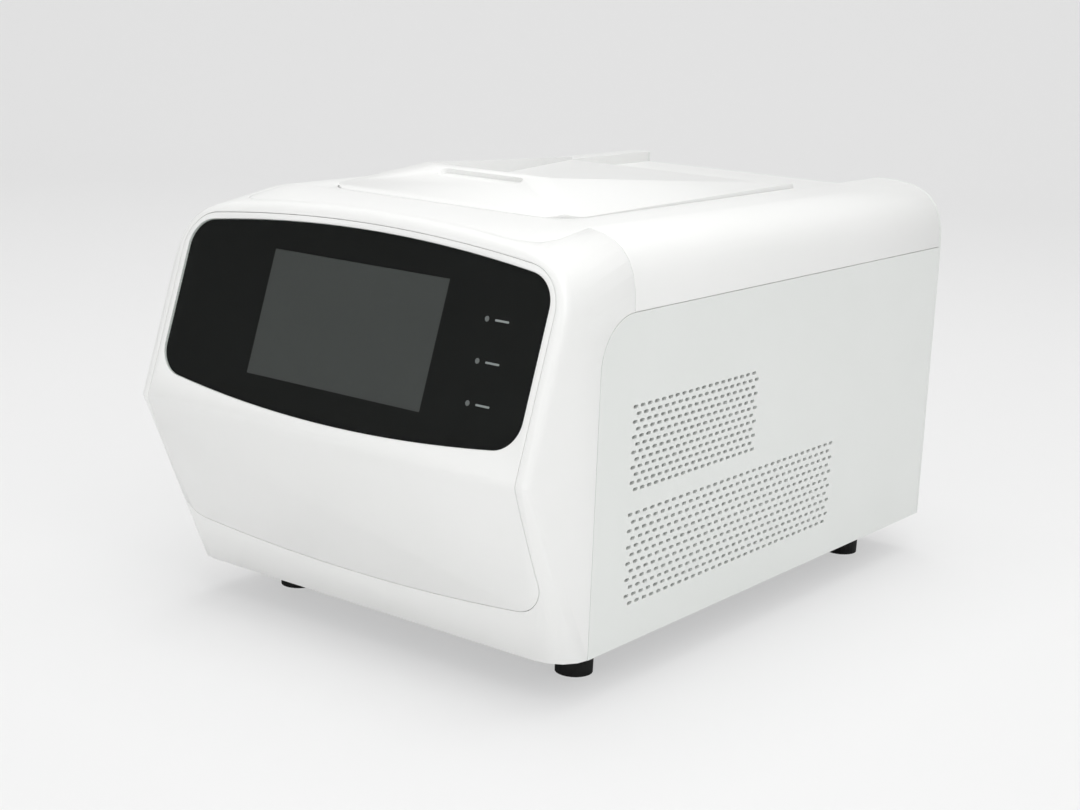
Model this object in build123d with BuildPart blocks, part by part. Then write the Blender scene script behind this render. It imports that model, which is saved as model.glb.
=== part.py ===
from build123d import *
from math import atan2, cos, degrees, pi, radians, sin, sqrt, tan
import os

"""Benchtop real-time PCR machine: a white casing with a leaning touch screen, a lid that slides
back over a channel between two soft shoulders, perforated side panels, a 96-well thermal block,
and an optics head that scans above it.

Millimetres. +X is to the right seen from the front, +Y goes to the back, +Z up.
The origin is on the bench, under the middle of the machine.
"""

os.makedirs("parts", exist_ok=True)

# Casing
casing_width = 346.0
nose_y = -268.6  # foremost line of the front, before its rounding
rear_y = 266.0  # outer face of the rear panel
casing_bottom = 31.0
deck_height = 303.5  # flat top of the casing
nose_height = 158.6
face_lean = 18.1  # degrees that the screen face leans back
chin_lean = 20.66  # degrees that the lower face falls back
nose_radius = 9.0
nose_chords = 3
wall = 3.0
seam = 0.4  # gap between mouldings
fit = 0.2  # gap between a moulding and the sheet metal inside it
bond = 0.1  # gap between seated faces
face_edge_radius = 6.0
face_edge_chords = 3
chin_corner_radius = 26.0
side_top = 253.8  # seam between a side panel and the top cover
brow_corner_x = 120.0  # where the soft corner of the front outline ends
brow_corner_low = 250.0
brow_drop = 7.0  # how far the front outline falls from its middle to the soft corner
brow_pull = 36.0
shoulder_x = 118.0
shoulder_pull_side = 38.0
shoulder_pull_top = 40.0
shoulder_chords = 8
bow_chords = 6
chin_chords = 4
flat_limit = 1e-6  # a facet flatter than this is one flat face
rear_sheet = 2.6

# Seams between the casing's pieces
panel_front = -197.0
panel_corner_radius = 34.0
tongue_half_width = 134.0
tongue_front = -214.0
tongue_corner_radius = 24.0
tongue_low = 282.0

# Face plate, glass and screen
plate_thickness = 3.4
plate_half_width = 164.0
plate_high = 295.3
plate_low = 58.7
plate_high_bow = 7.1
plate_low_bow = 6.4
bow_x = 130.0  # distance from the middle at which the bows are given
plate_high_radius = 28.0
plate_low_radius = 24.0
ledge = 2.0  # thickness of the ledge that carries the face plate
ledge_reach = 6.0
glass_half_width = 159.0
glass_low = 9.6  # up the leaning face from the nose line
glass_high = 139.6
glass_bow = 8.0
glass_corner_radius = 21.0
glass_thickness = 1.8
glass_gap = 0.3
mask_thickness = 0.3
print_gap = 0.05
screen_width = 154.2
screen_height = 85.9
screen_middle = 74.5
screen_thickness = 2.4
module_border = 6.0
module_depth = 8.0
module_flange = 8.0
module_flange_thickness = 1.5
indicator_x = 113.0
indicator_pitch = 26.7
indicator_middle = 70.5
led_radius = 1.8
led_board_width = 14.0
led_board_border = 8.0

# Top cover
aperture_half_width = 108.7
aperture_front = -155.6
aperture_corner_radius = 29.2
channel_front = 141.0
channel_half_width = 113.0
channel_floor = 295.0
rim_depth = 11.5
rim_wall = 2.5

# Lid
lid_gap = 1.2
lid_rear = 138.0
lid_wall = 2.5
lid_skirt_bottom = 297.3
lid_travel = 130.0
lid_front_edge = -152.0  # where the front facet starts to rise
crest_y = -100.4
crest_height = 321.9
crest_half_width = 57.0
ridge_rear_height = 306.8
ridge_rear_half_width = 106.4
dish_floor = 304.8
dish_thickness = 3.5
ridge_width = 1.6
dish_draft = 12.0
grip_length = 75.0
grip_width = 11.0
grip_up = 44.0
grip_depth = 3.5
grip_chords = 6
grip_floor_share = 0.67  # width of the pocket's floor as a share of its mouth

# Vents in the side panels
vent_start_y = -159.5
upper_vent_top = 193.1
upper_vent_length = 153.4
upper_vent_height = 58.0
upper_vent_columns = 6
upper_vent_rows = 4
lower_vent_top = 121.1
lower_vent_length = 269.3
lower_vent_height = 63.4
lower_vent_columns = 10
lower_vent_rows = 4
slot_share_long = 0.67  # part of the pitch that a slot takes
slot_share_high = 0.46

# Chassis
pan_sheet = 1.5
pan_flange = 18.0
foot_x = 130.0
foot_front_y = -152.0
foot_rear_y = 217.6
foot_top_radius = 13.6
foot_bottom_radius = 13.0
foot_facets = 24
foot_bore_radius = 3.0
foot_recess_radius = 6.5
foot_recess_depth = 22.0
foot_screw_radius = 2.5
foot_screw_head_radius = 4.6
foot_screw_head_height = 3.0
foot_screw_end = 36.5
frame_x = 118.0
frame_sheet = 2.0
frame_front = -157.0
frame_rear = 146.0
frame_top = 263.5
frame_foot = 5.0
frame_window_height = 50.0
frame_window_length = 50.0
frame_window_pitch = 59.0
frame_window_count = 5
frame_window_z = 120.0
ear_low = 190.0
ear_rear = 262.0
shelf_width = 24.0
rail_width = 12.0
rail_height = 8.0
rail_x = 103.0
rail_front = -152.0

# Thermal block
block_y = -92.0
block_top = 226.0
block_length = 112.0
block_depth = 76.0
block_height = 22.0
flange_length = 128.0
flange_depth = 92.0
flange_height = 5.0
well_pitch = 9.0
well_columns = 12
well_rows = 8
well_radius = 3.3
well_tip_radius = 1.4
well_depth = 15.0
well_sides = 6
peltier_side = 40.0
peltier_height = 3.8
peltier_pitch = 42.0
sink_length = 140.0
sink_depth = 110.0
sink_base = 10.0
fin_height = 40.0
fin_thickness = 1.6
fin_count = 15
post_radius = 3.0
post_x = 66.0
post_y = 51.0
deck_sheet = 1.5
deck_top = 220.0
deck_front = -155.0
deck_rear = 140.0
deck_flange = 12.0
block_gap = 1.0
collar_width = 7.0
collar_height = 3.0

# Fans
sink_fan_side = 92.0
rear_fan_side = 80.0
fan_depth = 25.0
fan_wall = 2.0
fan_hub_radius = 17.0
fan_blades = 7
blade_thickness = 1.6
blade_pitch = 38.0
blade_gap = 1.0
fan_shaft_radius = 1.5
fan_spoke = 4.0
fan_spoke_depth = 3.0
running_gap = 0.05
rear_fan_x = 60.0
rear_fan_z = 210.0
fan_hole_inset = 4.25
fan_hole_radius = 2.2
fan_screw_radius = 1.8
fan_screw_head_radius = 3.2
fan_screw_head_height = 1.4
fan_screw_length = 10.0
guard_side = 84.0
guard_thickness = 2.0
guard_slots = 8
guard_slot_length = 62.0
guard_slot_height = 5.2

# Lid carriage and optics
carriage_front = -148.0
carriage_rear = 6.0
carriage_half_width = 112.0
carriage_bottom = 278.0
carriage_thickness = 3.0
carriage_window_half = 86.0
carriage_window_border = 6.0
guide_width = 26.0
guide_length = 40.0
guide_bottom = 265.2
guide_inset = 6.0
slide_gap = 0.1
tray_half_width = 88.0
tray_rear = 0.0
tray_bottom = 250.0
tray_sheet = 1.5
tray_window_length = 112.0
tray_window_depth = 76.0
rod_radius = 4.0
rod_spacing = 84.0
optics_height = 272.0  # middle of the rods and of the lead screw
head_width = 36.0
head_depth = 100.0
head_bottom = 255.0
head_height = 34.0
lens_radius = 3.6
lens_drop = 2.0
lens_rise = 3.0
screw_y = -20.0
lead_radius = 3.0
lead_end_gap = 0.5
nut_width = 12.0
nut_height = 14.0
nut_rear = -13.0
motor_side = 35.0
motor_length = 24.0
motor_x = 60.0
motor_boss_radius = 9.0
bracket_thickness = 2.0
platen_length = 124.0
platen_depth = 84.0
platen_thickness = 12.0
platen_lift = 3.0
platen_clearance = 1.0  # left above the platen when it is lifted
platen_gap = 0.4
platen_hole_radius = 3.0
pin_radius = 2.5
pin_head_radius = 4.0
pin_head_height = 1.5
pin_inset = 7.0
pin_recess = 2.5

# Rear fittings
inlet_x = -118.0
inlet_z = 78.0
inlet_width = 27.4
inlet_height = 20.0
inlet_depth = 18.0
inlet_flange_width = 48.0
inlet_flange_height = 26.0
fitting_flange = 2.0
inlet_cavity_width = 24.6
inlet_cavity_height = 17.0
inlet_cavity_depth = 15.0
pin_width = 4.0
pin_thickness = 2.0
pin_length = 11.0
pin_pitch = 7.0
pin_offset = 3.5
switch_z = 122.0
switch_width = 15.0
switch_height = 22.0
switch_depth = 16.0
switch_border = 3.0
switch_wall = 1.5
rocker_gap = 0.4
rocker_tilt = 8.0
rocker_setback = 2.0  # how far the rocker's pin lies inside the rear face
rocker_front = 3.2
rocker_back = 3.0
rocker_keel = 6.0
rocker_dip = 1.0
rocker_taper = 1.0
rocker_pin_radius = 1.2
port_x = 96.0
port_z = 78.0
network_width = 16.5
network_height = 14.0
network_depth = 16.0
network_cavity_width = 12.0
network_cavity_height = 8.4
usb_width = 14.6
usb_height = 7.4
usb_depth = 14.0
usb_wall = 0.8
usb_pitch = 14.0
usb_z = 108.0
panel_screw_x = 140.0
panel_screw_z = 42.0

# Electronics
supply_width = 96.0
supply_length = 180.0
supply_height = 45.0
supply_x = -62.0
supply_y = 150.0
board_width = 96.0
board_length = 150.0
board_thickness = 1.6
board_x = 62.0
board_y = 150.0
standoff_height = 12.0
standoff_radius = 3.0
standoff_inset = 8.0
chip_side = 20.0
chip_height = 3.0
chip_pitch = 40.0
connector_length = 50.0
connector_depth = 10.0
connector_height = 9.0

half = casing_width / 2
rail_rear = carriage_rear + lid_travel + guide_inset
platen_bottom = tray_bottom - platen_clearance - platen_lift - platen_thickness
head_start = -(well_columns - 1) * well_pitch / 2
face_plane = Plane(
    origin=(0, nose_y, nose_height),
    x_dir=(1, 0, 0),
    z_dir=(0, -cos(radians(face_lean)), sin(radians(face_lean))),
)
cover_front = panel_front + panel_corner_radius


def section_plane(y):
    """Upright plane across the machine at y, its own x along +X and its own y along +Z."""
    return Plane.XZ.offset(-y)


def facet_solid(sections):
    """Solid through closed outlines with equal numbers of points, its sides in flat facets."""
    faces = [Face(Wire.make_polygon(sections[0])), Face(Wire.make_polygon(sections[-1]))]
    for near, far in zip(sections, sections[1:]):
        for index in range(len(near)):
            quad = [Vector(*point) for point in (near[index - 1], near[index], far[index], far[index - 1])]
            normal = (quad[1] - quad[0]).cross(quad[2] - quad[0]).normalized()
            if abs((quad[3] - quad[0]).dot(normal)) < flat_limit:
                faces.append(Face(Wire.make_polygon(quad)))
            else:
                faces.append(Face(Wire.make_polygon(quad[:3])))
                faces.append(Face(Wire.make_polygon([quad[0], quad[2], quad[3]])))
    return Solid(Shell(faces))


def ring_points(radius, count, z):
    """Corners of a regular outline round the origin at height z."""
    turns = [2 * pi * index / count for index in range(count)]
    return [(radius * cos(turn), radius * sin(turn), z) for turn in turns]


def soft_corner(start, start_pull, end_pull, end):
    """Points along a soft corner from start to end, drawn towards the two pulls."""
    points = []
    for step in range(shoulder_chords + 1):
        share = step / shoulder_chords
        rest = 1 - share
        weights = (rest ** 3, 3 * share * rest ** 2, 3 * share ** 2 * rest, share ** 3)
        corners = (start, start_pull, end_pull, end)
        points.append(tuple(sum(w * c[axis] for w, c in zip(weights, corners)) for axis in (0, 1)))
    return points


def casing_outline(side_x, low, corner_low, corner_x, top, drop, pull_side, pull_top):
    """Outline across the casing: straight sides, a soft corner on each, and a level or bowed top."""
    corner_z = top - drop
    bow = atan2(2 * drop, corner_x)
    pull = (corner_x + pull_top * cos(bow), corner_z - pull_top * sin(bow))
    right = soft_corner((side_x, corner_low), (side_x, corner_low + pull_side), pull, (corner_x, corner_z))
    left = [(-x, z) for x, z in reversed(right)]
    over = []
    for step in range(1, bow_chords):
        x = corner_x * (1 - 2 * step / bow_chords)
        over.append((x, top - drop * (x / corner_x) ** 2))
    return [(side_x, low)] + right + over + left + [(-side_x, low)]


def brow_section(inset, depth, shrink):
    """Outline of the screen face, depth behind it, shrunk all round by shrink."""
    lean = radians(face_lean)
    top = (deck_height - inset - nose_height + (depth + inset) * sin(lean)) / cos(lean) - shrink
    low_corner = (brow_corner_low - nose_height) / cos(lean)
    points = casing_outline(half - inset - shrink, -200, low_corner, brow_corner_x, top, brow_drop,
                            brow_pull - inset / 2, brow_pull - inset / 2 - shrink)
    plane = face_plane.offset(-depth - inset)
    return [tuple(plane.from_local_coords((x, up, 0))) for x, up in points]


def shoulder_outline(inset):
    """Outline across the casing behind the front moulding."""
    return casing_outline(half - inset, -40, side_top, shoulder_x, deck_height - inset, 0,
                          shoulder_pull_side - inset, shoulder_pull_top - inset)


def chin_y(z, inset):
    """Front of the lower face at height z, drawn in by inset."""
    return nose_y + (nose_height - z) * tan(radians(chin_lean)) + inset / cos(radians(chin_lean))


def chin_outline(inset, z, radius):
    """Level outline that follows the lower face, with its two front corners rounded."""
    side_x = half - inset
    front = chin_y(z, inset)
    right = []
    for step in range(chin_chords + 1):
        turn = pi / 2 * step / chin_chords
        right.append((side_x - radius + radius * sin(turn), front + radius - radius * cos(turn)))
    left = [(-x, y) for x, y in reversed(right)]
    return left + right + [(side_x, rear_y + 40), (-side_x, rear_y + 40)]


def chin_section(inset, z, radius):
    """The same outline as points in space."""
    return [(x, y, z) for x, y in chin_outline(inset, z, radius)]


def nose_cut(inset):
    """Side view that takes the sharp line off the nose with short chords of its rounding."""
    up = radians(face_lean)
    down = radians(chin_lean)
    turn = up + down
    radius = nose_radius - inset
    shift = inset / cos(turn / 2)
    bisector = (down - up) / 2
    vertex = (nose_y + shift * cos(bisector), nose_height + shift * sin(bisector))
    centre_reach = radius / cos(turn / 2)
    centre = (vertex[0] + centre_reach * cos(bisector), vertex[1] + centre_reach * sin(bisector))
    points = []
    for step in range(nose_chords + 1):
        angle = up - turn * step / nose_chords
        points.append((centre[0] - radius * cos(angle), centre[1] + radius * sin(angle)))
    far = 400
    return [(far, far), (points[0][0], far)] + points + [(points[-1][0], -far), (far, -far)]


def casing_form(inset):
    """Form of the casing, drawn in by inset. The drawn-in forms run out at the rear and the bottom."""
    radius = face_edge_radius - inset * 0.8
    edge = face_edge_radius - inset * 0.5
    sections = []
    for step in range(face_edge_chords + 1):
        angle = radians(90 * step / face_edge_chords)
        sections.append(brow_section(inset, radius * (1 - cos(angle)), radius * (1 - sin(angle))))
    for y in (cover_front, rear_y + 20):
        sections.append([(x, y, z) for x, z in shoulder_outline(inset)])
    low = chin_section(inset, casing_bottom - 5, chin_corner_radius - inset)
    middle = chin_section(inset, nose_height, edge)
    high = chin_section(inset, deck_height + 20, edge)
    with BuildPart() as nose:
        with BuildSketch(Plane.YZ):
            with BuildLine():
                Polyline(*nose_cut(inset), close=True)
            make_face()
        extrude(amount=casing_width, both=True)
    with BuildPart() as form:
        add(facet_solid(sections))
        add(facet_solid([low, middle, high]), mode=Mode.INTERSECT)
        add(nose.part, mode=Mode.INTERSECT)
    return form.part


def slab(x, y, z, mode=Mode.ADD):
    """Box between the pairs of limits x, y and z."""
    with Locations(((x[0] + x[1]) / 2, (y[0] + y[1]) / 2, (z[0] + z[1]) / 2)):
        Box(x[1] - x[0], y[1] - y[0], z[1] - z[0], mode=mode)


def span(middle, length):
    """The two limits of a length round its middle."""
    return (middle - length / 2, middle + length / 2)


def bowed_outline(half_width, low, high, low_bow, high_bow, low_radius, high_radius):
    """Symmetric outline whose upper and lower edges bow outwards, with rounded corners."""
    share = (half_width / bow_x) ** 2
    low_side = low + low_bow * share
    high_side = high - high_bow * share
    with BuildSketch() as outline:
        with BuildLine():
            ThreePointArc((-half_width, low_side), (0, low), (half_width, low_side))
            Line((half_width, low_side), (half_width, high_side))
            ThreePointArc((half_width, high_side), (0, high), (-half_width, high_side))
            Line((-half_width, high_side), (-half_width, low_side))
        make_face()
        fillet(outline.vertices().sort_by(Axis.Y)[:2], low_radius)
        fillet(outline.vertices().sort_by(Axis.Y)[-2:], high_radius)
    return outline.sketch


def plate_prism(grow):
    """Column along Y through the outline of the face plate, grown by grow."""
    outline = bowed_outline(plate_half_width + grow, plate_low - grow, plate_high + grow,
                            plate_low_bow, plate_high_bow, plate_low_radius + grow, plate_high_radius + grow)
    with BuildPart() as prism:
        extrude(section_plane(panel_front) * outline, amount=2 * (panel_front - nose_y))
    return prism.part


def glass_outline(grow):
    """Outline of the glass in the plane of the leaning face, grown by grow."""
    return bowed_outline(glass_half_width + grow, glass_low - grow, glass_high + grow,
                         glass_bow, glass_bow, glass_corner_radius + grow, glass_corner_radius + grow)


def panel_outline(grow):
    """Side view of a side panel, grown by grow."""
    front = panel_front - grow
    top = side_top + grow
    radius = panel_corner_radius + grow
    reach = radius * (1 - sqrt(0.5))
    with BuildSketch() as outline:
        with BuildLine():
            Line((front, casing_bottom), (front, top - radius))
            ThreePointArc((front, top - radius), (front + reach, top - reach), (front + radius, top))
            Line((front + radius, top), (skin_rear, top))
            Line((skin_rear, top), (skin_rear, casing_bottom))
            Line((skin_rear, casing_bottom), (front, casing_bottom))
        make_face()
    return outline.sketch


def tongue_prism(grow):
    """Upright column for the middle of the top cover that runs forward to the screen face."""
    with BuildPart() as prism:
        with BuildSketch(Plane.XY.offset(tongue_low - grow)) as outline:
            with BuildLine():
                Polyline(
                    (-tongue_half_width - grow, cover_front + wall),
                    (-tongue_half_width - grow, tongue_front - grow),
                    (tongue_half_width + grow, tongue_front - grow),
                    (tongue_half_width + grow, cover_front + wall),
                    close=True,
                )
            make_face()
            fillet(outline.vertices().sort_by(Axis.Y)[:2], tongue_corner_radius + grow)
        extrude(amount=2 * (deck_height - tongue_low))
    return prism.part


def aperture_outline(grow, front_grow, rear):
    """Plan of the lid's opening, grown sideways by grow and forward by front_grow."""
    side_x = aperture_half_width + grow
    with BuildSketch() as outline:
        with BuildLine():
            Polyline((-side_x, rear), (-side_x, aperture_front - front_grow),
                     (side_x, aperture_front - front_grow), (side_x, rear), close=True)
        make_face()
        fillet(outline.vertices().sort_by(Axis.Y)[:2], aperture_corner_radius + grow)
    return outline.sketch


skin_rear = rear_y - rear_sheet - seam
with BuildPart() as skin:
    add(casing_form(0))
    slab(span(0, 4 * half), (skin_rear, 2 * rear_y), (0, 2 * deck_height), mode=Mode.SUBTRACT)
    slab(span(0, 4 * half), (2 * nose_y, 2 * rear_y), (0, casing_bottom), mode=Mode.SUBTRACT)
    add(casing_form(wall), mode=Mode.SUBTRACT)

# Front moulding: a ring round the face plate, with a ledge behind its edge
with BuildPart() as front_ledge:
    add(casing_form(plate_thickness + bond))
    add(casing_form(plate_thickness + bond + ledge), mode=Mode.SUBTRACT)
    add(plate_prism(ledge_reach), mode=Mode.INTERSECT)
    add(plate_prism(-ledge_reach), mode=Mode.SUBTRACT)
with BuildPart() as front_rim:
    add(casing_form(wall - bond))
    add(casing_form(plate_thickness + bond + ledge), mode=Mode.SUBTRACT)
    add(plate_prism(ledge_reach), mode=Mode.INTERSECT)
    add(plate_prism(seam / 2), mode=Mode.SUBTRACT)
with BuildPart() as front_shell:
    add(skin.part)
    slab(span(0, 4 * half), (cover_front - seam / 2, 2 * rear_y), (0, 2 * deck_height), mode=Mode.SUBTRACT)
    add(plate_prism(seam / 2), mode=Mode.SUBTRACT)
    add(front_ledge.part)
    add(front_rim.part)
    extrude(Plane.YZ * panel_outline(seam / 2), amount=2 * half, both=True, mode=Mode.SUBTRACT)
    add(tongue_prism(seam / 2), mode=Mode.SUBTRACT)
    front_shell.part.label = "front_shell"
export_step(front_shell.part, "parts/front_shell.step")

# Face plate: follows the leaning face, the nose and the chin
module_half_width = screen_width / 2 + module_border
module_half_height = screen_height / 2 + module_border
glass_seat = glass_thickness + print_gap + mask_thickness + bond
indicators = [
    (indicator_x, indicator_middle + indicator_pitch),
    (indicator_x, indicator_middle),
    (indicator_x, indicator_middle - indicator_pitch),
]
with BuildPart() as face_plate:
    add(casing_form(0))
    add(casing_form(plate_thickness), mode=Mode.SUBTRACT)
    add(plate_prism(-seam / 2), mode=Mode.INTERSECT)
    extrude(face_plane * glass_outline(glass_gap), amount=-glass_seat, mode=Mode.SUBTRACT)
    with BuildSketch(face_plane):
        with Locations((0, screen_middle)):
            Rectangle(2 * module_half_width + 2 * glass_gap, 2 * module_half_height + 2 * glass_gap)
        with Locations(*indicators):
            RegularPolygon(led_radius + glass_gap, 8)
    extrude(amount=-2 * plate_thickness, mode=Mode.SUBTRACT)
    face_plate.part.label = "face_plate"
export_step(face_plate.part, "parts/face_plate.step")

with BuildPart() as cover_glass:
    extrude(face_plane * glass_outline(0), amount=-glass_thickness)
    cover_glass.part.label = "cover_glass"
export_step(cover_glass.part, "parts/cover_glass.step")

# Black print behind the glass, open over the screen and the status lights
with BuildPart() as glass_print:
    extrude(face_plane.offset(-glass_thickness - print_gap) * glass_outline(0), amount=-mask_thickness)
    with BuildSketch(face_plane):
        with Locations((0, screen_middle)):
            Rectangle(screen_width + 2 * bond, screen_height + 2 * bond)
        with Locations(*indicators):
            RegularPolygon(led_radius + bond, 8)
    extrude(amount=-2 * plate_thickness, mode=Mode.SUBTRACT)
    glass_print.part.label = "glass_print"
export_step(glass_print.part, "parts/glass_print.step")

with BuildPart() as display_screen:
    with BuildSketch(face_plane.offset(-glass_thickness - bond)):
        with Locations((0, screen_middle)):
            Rectangle(screen_width, screen_height)
    extrude(amount=-screen_thickness)
    display_screen.part.label = "display_screen"
export_step(display_screen.part, "parts/display_screen.step")

with BuildPart() as display_frame:
    with BuildSketch(face_plane.offset(-glass_seat)):
        with Locations((0, screen_middle)):
            Rectangle(2 * module_half_width, 2 * module_half_height)
    extrude(amount=-module_depth)
    with BuildSketch(face_plane.offset(-plate_thickness - bond)):
        with Locations((0, screen_middle)):
            Rectangle(2 * module_half_width + 2 * module_flange, 2 * module_half_height + 2 * module_flange)
    extrude(amount=-module_flange_thickness)
    with BuildSketch(face_plane):
        with Locations((0, screen_middle)):
            Rectangle(screen_width + 2 * bond, screen_height + 2 * bond)
    extrude(amount=-glass_thickness - screen_thickness - 2 * bond, mode=Mode.SUBTRACT)
    display_frame.part.label = "display_frame"
export_step(display_frame.part, "parts/display_frame.step")

with BuildPart() as status_leds:
    with BuildSketch(face_plane.offset(-glass_thickness - bond)):
        with Locations(*indicators):
            RegularPolygon(led_radius, 8)
    extrude(amount=-plate_thickness + glass_thickness)
    status_leds.part.label = "status_leds"
export_step(status_leds.part, "parts/status_leds.step")

with BuildPart() as led_board:
    with BuildSketch(face_plane.offset(-plate_thickness - bond)):
        with Locations((indicator_x, indicator_middle)):
            Rectangle(led_board_width, 2 * indicator_pitch + 2 * led_board_border)
    extrude(amount=-board_thickness)
    led_board.part.label = "led_board"
export_step(led_board.part, "parts/led_board.step")

# Top cover with the lid's opening and the channel that the lid slides back over
with BuildPart() as top_cover:
    add(skin.part)
    slab(span(0, 4 * half), (2 * nose_y, cover_front + seam / 2), (0, 2 * deck_height), mode=Mode.SUBTRACT)
    slab(span(0, 4 * half), (2 * nose_y, 2 * rear_y), (0, side_top + seam / 2), mode=Mode.SUBTRACT)
    add(tongue_prism(-seam / 2).intersect(skin.part))
    extrude(
        Plane.XY.offset(deck_height - rim_depth) * aperture_outline(rim_wall, rim_wall, channel_front),
        amount=rim_depth - wall / 2,
    )
    slab((-channel_half_width - rim_wall, channel_half_width + rim_wall), (channel_front, skin_rear),
         (channel_floor - rim_wall, deck_height - wall / 2))
    extrude(
        Plane.XY.offset(deck_height - 2 * rim_depth) * aperture_outline(0, 0, channel_front),
        amount=4 * rim_depth, mode=Mode.SUBTRACT,
    )
    slab((-channel_half_width, channel_half_width), (channel_front - seam, 2 * rear_y),
         (channel_floor, 2 * deck_height), mode=Mode.SUBTRACT)
    top_cover.part.label = "top_cover"
export_step(top_cover.part, "parts/top_cover.step")


def vent_field(top, length, height, columns, rows):
    """Centres of the slots of one field in side view, every other row shifted by half a pitch."""
    pitch = length / (columns + 0.5)
    row_pitch = height / rows
    centres = []
    for row in range(rows):
        for column in range(columns):
            shift = 0.5 if row % 2 else 0
            centres.append((vent_start_y + (column + shift + 0.5) * pitch, top - (row + 0.5) * row_pitch))
    return centres


def side_panel(outer_x, depth):
    """Side panel with its two fields of slots, its outer face at outer_x and depth thick along X."""
    fields = [
        (upper_vent_top, upper_vent_length, upper_vent_height, upper_vent_columns, upper_vent_rows),
        (lower_vent_top, lower_vent_length, lower_vent_height, lower_vent_columns, lower_vent_rows),
    ]
    with BuildPart() as panel:
        with BuildSketch(Plane.YZ.offset(outer_x)):
            add(panel_outline(-seam / 2))
            for top, length, height, columns, rows in fields:
                with Locations(*vent_field(top, length, height, columns, rows)):
                    Rectangle(length / columns * slot_share_long, height / rows * slot_share_high,
                              mode=Mode.SUBTRACT)
        extrude(amount=depth)
    return panel.part


side_panel_right = side_panel(half, -wall)
side_panel_right.label = "side_panel_right"
export_step(side_panel_right, "parts/side_panel_right.step")

side_panel_left = side_panel(-half, wall)
side_panel_left.label = "side_panel_left"
export_step(side_panel_left, "parts/side_panel_left.step")

# Rear panel and what is set in it
fan_centres = [(-rear_fan_x, rear_fan_z), (rear_fan_x, rear_fan_z)]
fan_hole = rear_fan_side / 2 - fan_hole_inset
fan_bore = rear_fan_side / 2 - fan_wall
usb_heights = [usb_z, usb_z + usb_pitch]
panel_screw_places = [(x, panel_screw_z) for x in (-panel_screw_x, 0, panel_screw_x)]
rear_plane = section_plane(rear_y)
inner_rear = rear_y - rear_sheet
with BuildPart() as rear_panel:
    with BuildSketch(rear_plane):
        with BuildLine():
            Polyline(*casing_outline(half, casing_bottom, side_top, shoulder_x, deck_height, 0,
                                     shoulder_pull_side, shoulder_pull_top), close=True)
        make_face()
        with Locations((0, channel_floor + deck_height / 2)):
            Rectangle(2 * channel_half_width, deck_height, mode=Mode.SUBTRACT)
        with Locations(*fan_centres):
            RegularPolygon(fan_bore - 1, 12, mode=Mode.SUBTRACT)
            with GridLocations(2 * fan_hole, 2 * fan_hole, 2, 2):
                RegularPolygon(fan_hole_radius, 6, mode=Mode.SUBTRACT)
        with Locations((inlet_x, inlet_z)):
            Rectangle(inlet_width + 2 * fit, inlet_height + 2 * fit, mode=Mode.SUBTRACT)
        with Locations((inlet_x, switch_z)):
            Rectangle(switch_width + 2 * fit, switch_height + 2 * fit, mode=Mode.SUBTRACT)
        with Locations((port_x, port_z)):
            Rectangle(network_width + 2 * fit, network_height + 2 * fit, mode=Mode.SUBTRACT)
        with Locations(*[(port_x, z) for z in usb_heights]):
            Rectangle(usb_width + 2 * fit, usb_height + 2 * fit, mode=Mode.SUBTRACT)
        with Locations(*panel_screw_places):
            RegularPolygon(fan_hole_radius, 6, mode=Mode.SUBTRACT)
    extrude(amount=rear_sheet)
    rear_panel.part.label = "rear_panel"
export_step(rear_panel.part, "parts/rear_panel.step")

with BuildPart() as fan_guards:
    with BuildSketch(section_plane(rear_y + bond)):
        with Locations(*fan_centres):
            Rectangle(guard_side, guard_side)
            with GridLocations(0, guard_side / (guard_slots + 1), 1, guard_slots):
                Rectangle(guard_slot_length, guard_slot_height, mode=Mode.SUBTRACT)
            with GridLocations(2 * fan_hole, 2 * fan_hole, 2, 2):
                RegularPolygon(fan_hole_radius, 6, mode=Mode.SUBTRACT)
    extrude(amount=-guard_thickness)
    with BuildSketch(section_plane(rear_y + bond + guard_thickness)):
        with Locations(*fan_centres):
            with GridLocations(2 * fan_hole, 2 * fan_hole, 2, 2):
                RegularPolygon(fan_screw_head_radius + fit, 6)
    extrude(amount=fan_screw_head_height + bond, mode=Mode.SUBTRACT)
    fan_guards.part.label = "fan_guards"
export_step(fan_guards.part, "parts/fan_guards.step")

with BuildPart() as fan_screws:
    with BuildSketch(section_plane(rear_y + bond + guard_thickness)):
        with Locations(*fan_centres):
            with GridLocations(2 * fan_hole, 2 * fan_hole, 2, 2):
                RegularPolygon(fan_screw_head_radius, 6)
    extrude(amount=fan_screw_head_height)
    with BuildSketch(section_plane(rear_y + bond + guard_thickness - fan_screw_head_height)):
        with Locations(*fan_centres):
            with GridLocations(2 * fan_hole, 2 * fan_hole, 2, 2):
                RegularPolygon(fan_screw_radius, 6)
    extrude(amount=fan_screw_length)
    fan_screws.part.label = "fan_screws"
export_step(fan_screws.part, "parts/fan_screws.step")

with BuildPart() as panel_screws:
    with BuildSketch(section_plane(rear_y + fan_screw_head_height + bond)):
        with Locations(*panel_screw_places):
            RegularPolygon(fan_screw_head_radius, 6)
    extrude(amount=fan_screw_head_height)
    with BuildSketch(section_plane(rear_y + bond)):
        with Locations(*panel_screw_places):
            RegularPolygon(fan_screw_radius, 6)
    extrude(amount=fan_screw_length)
    panel_screws.part.label = "panel_screws"
export_step(panel_screws.part, "parts/panel_screws.step")


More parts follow.
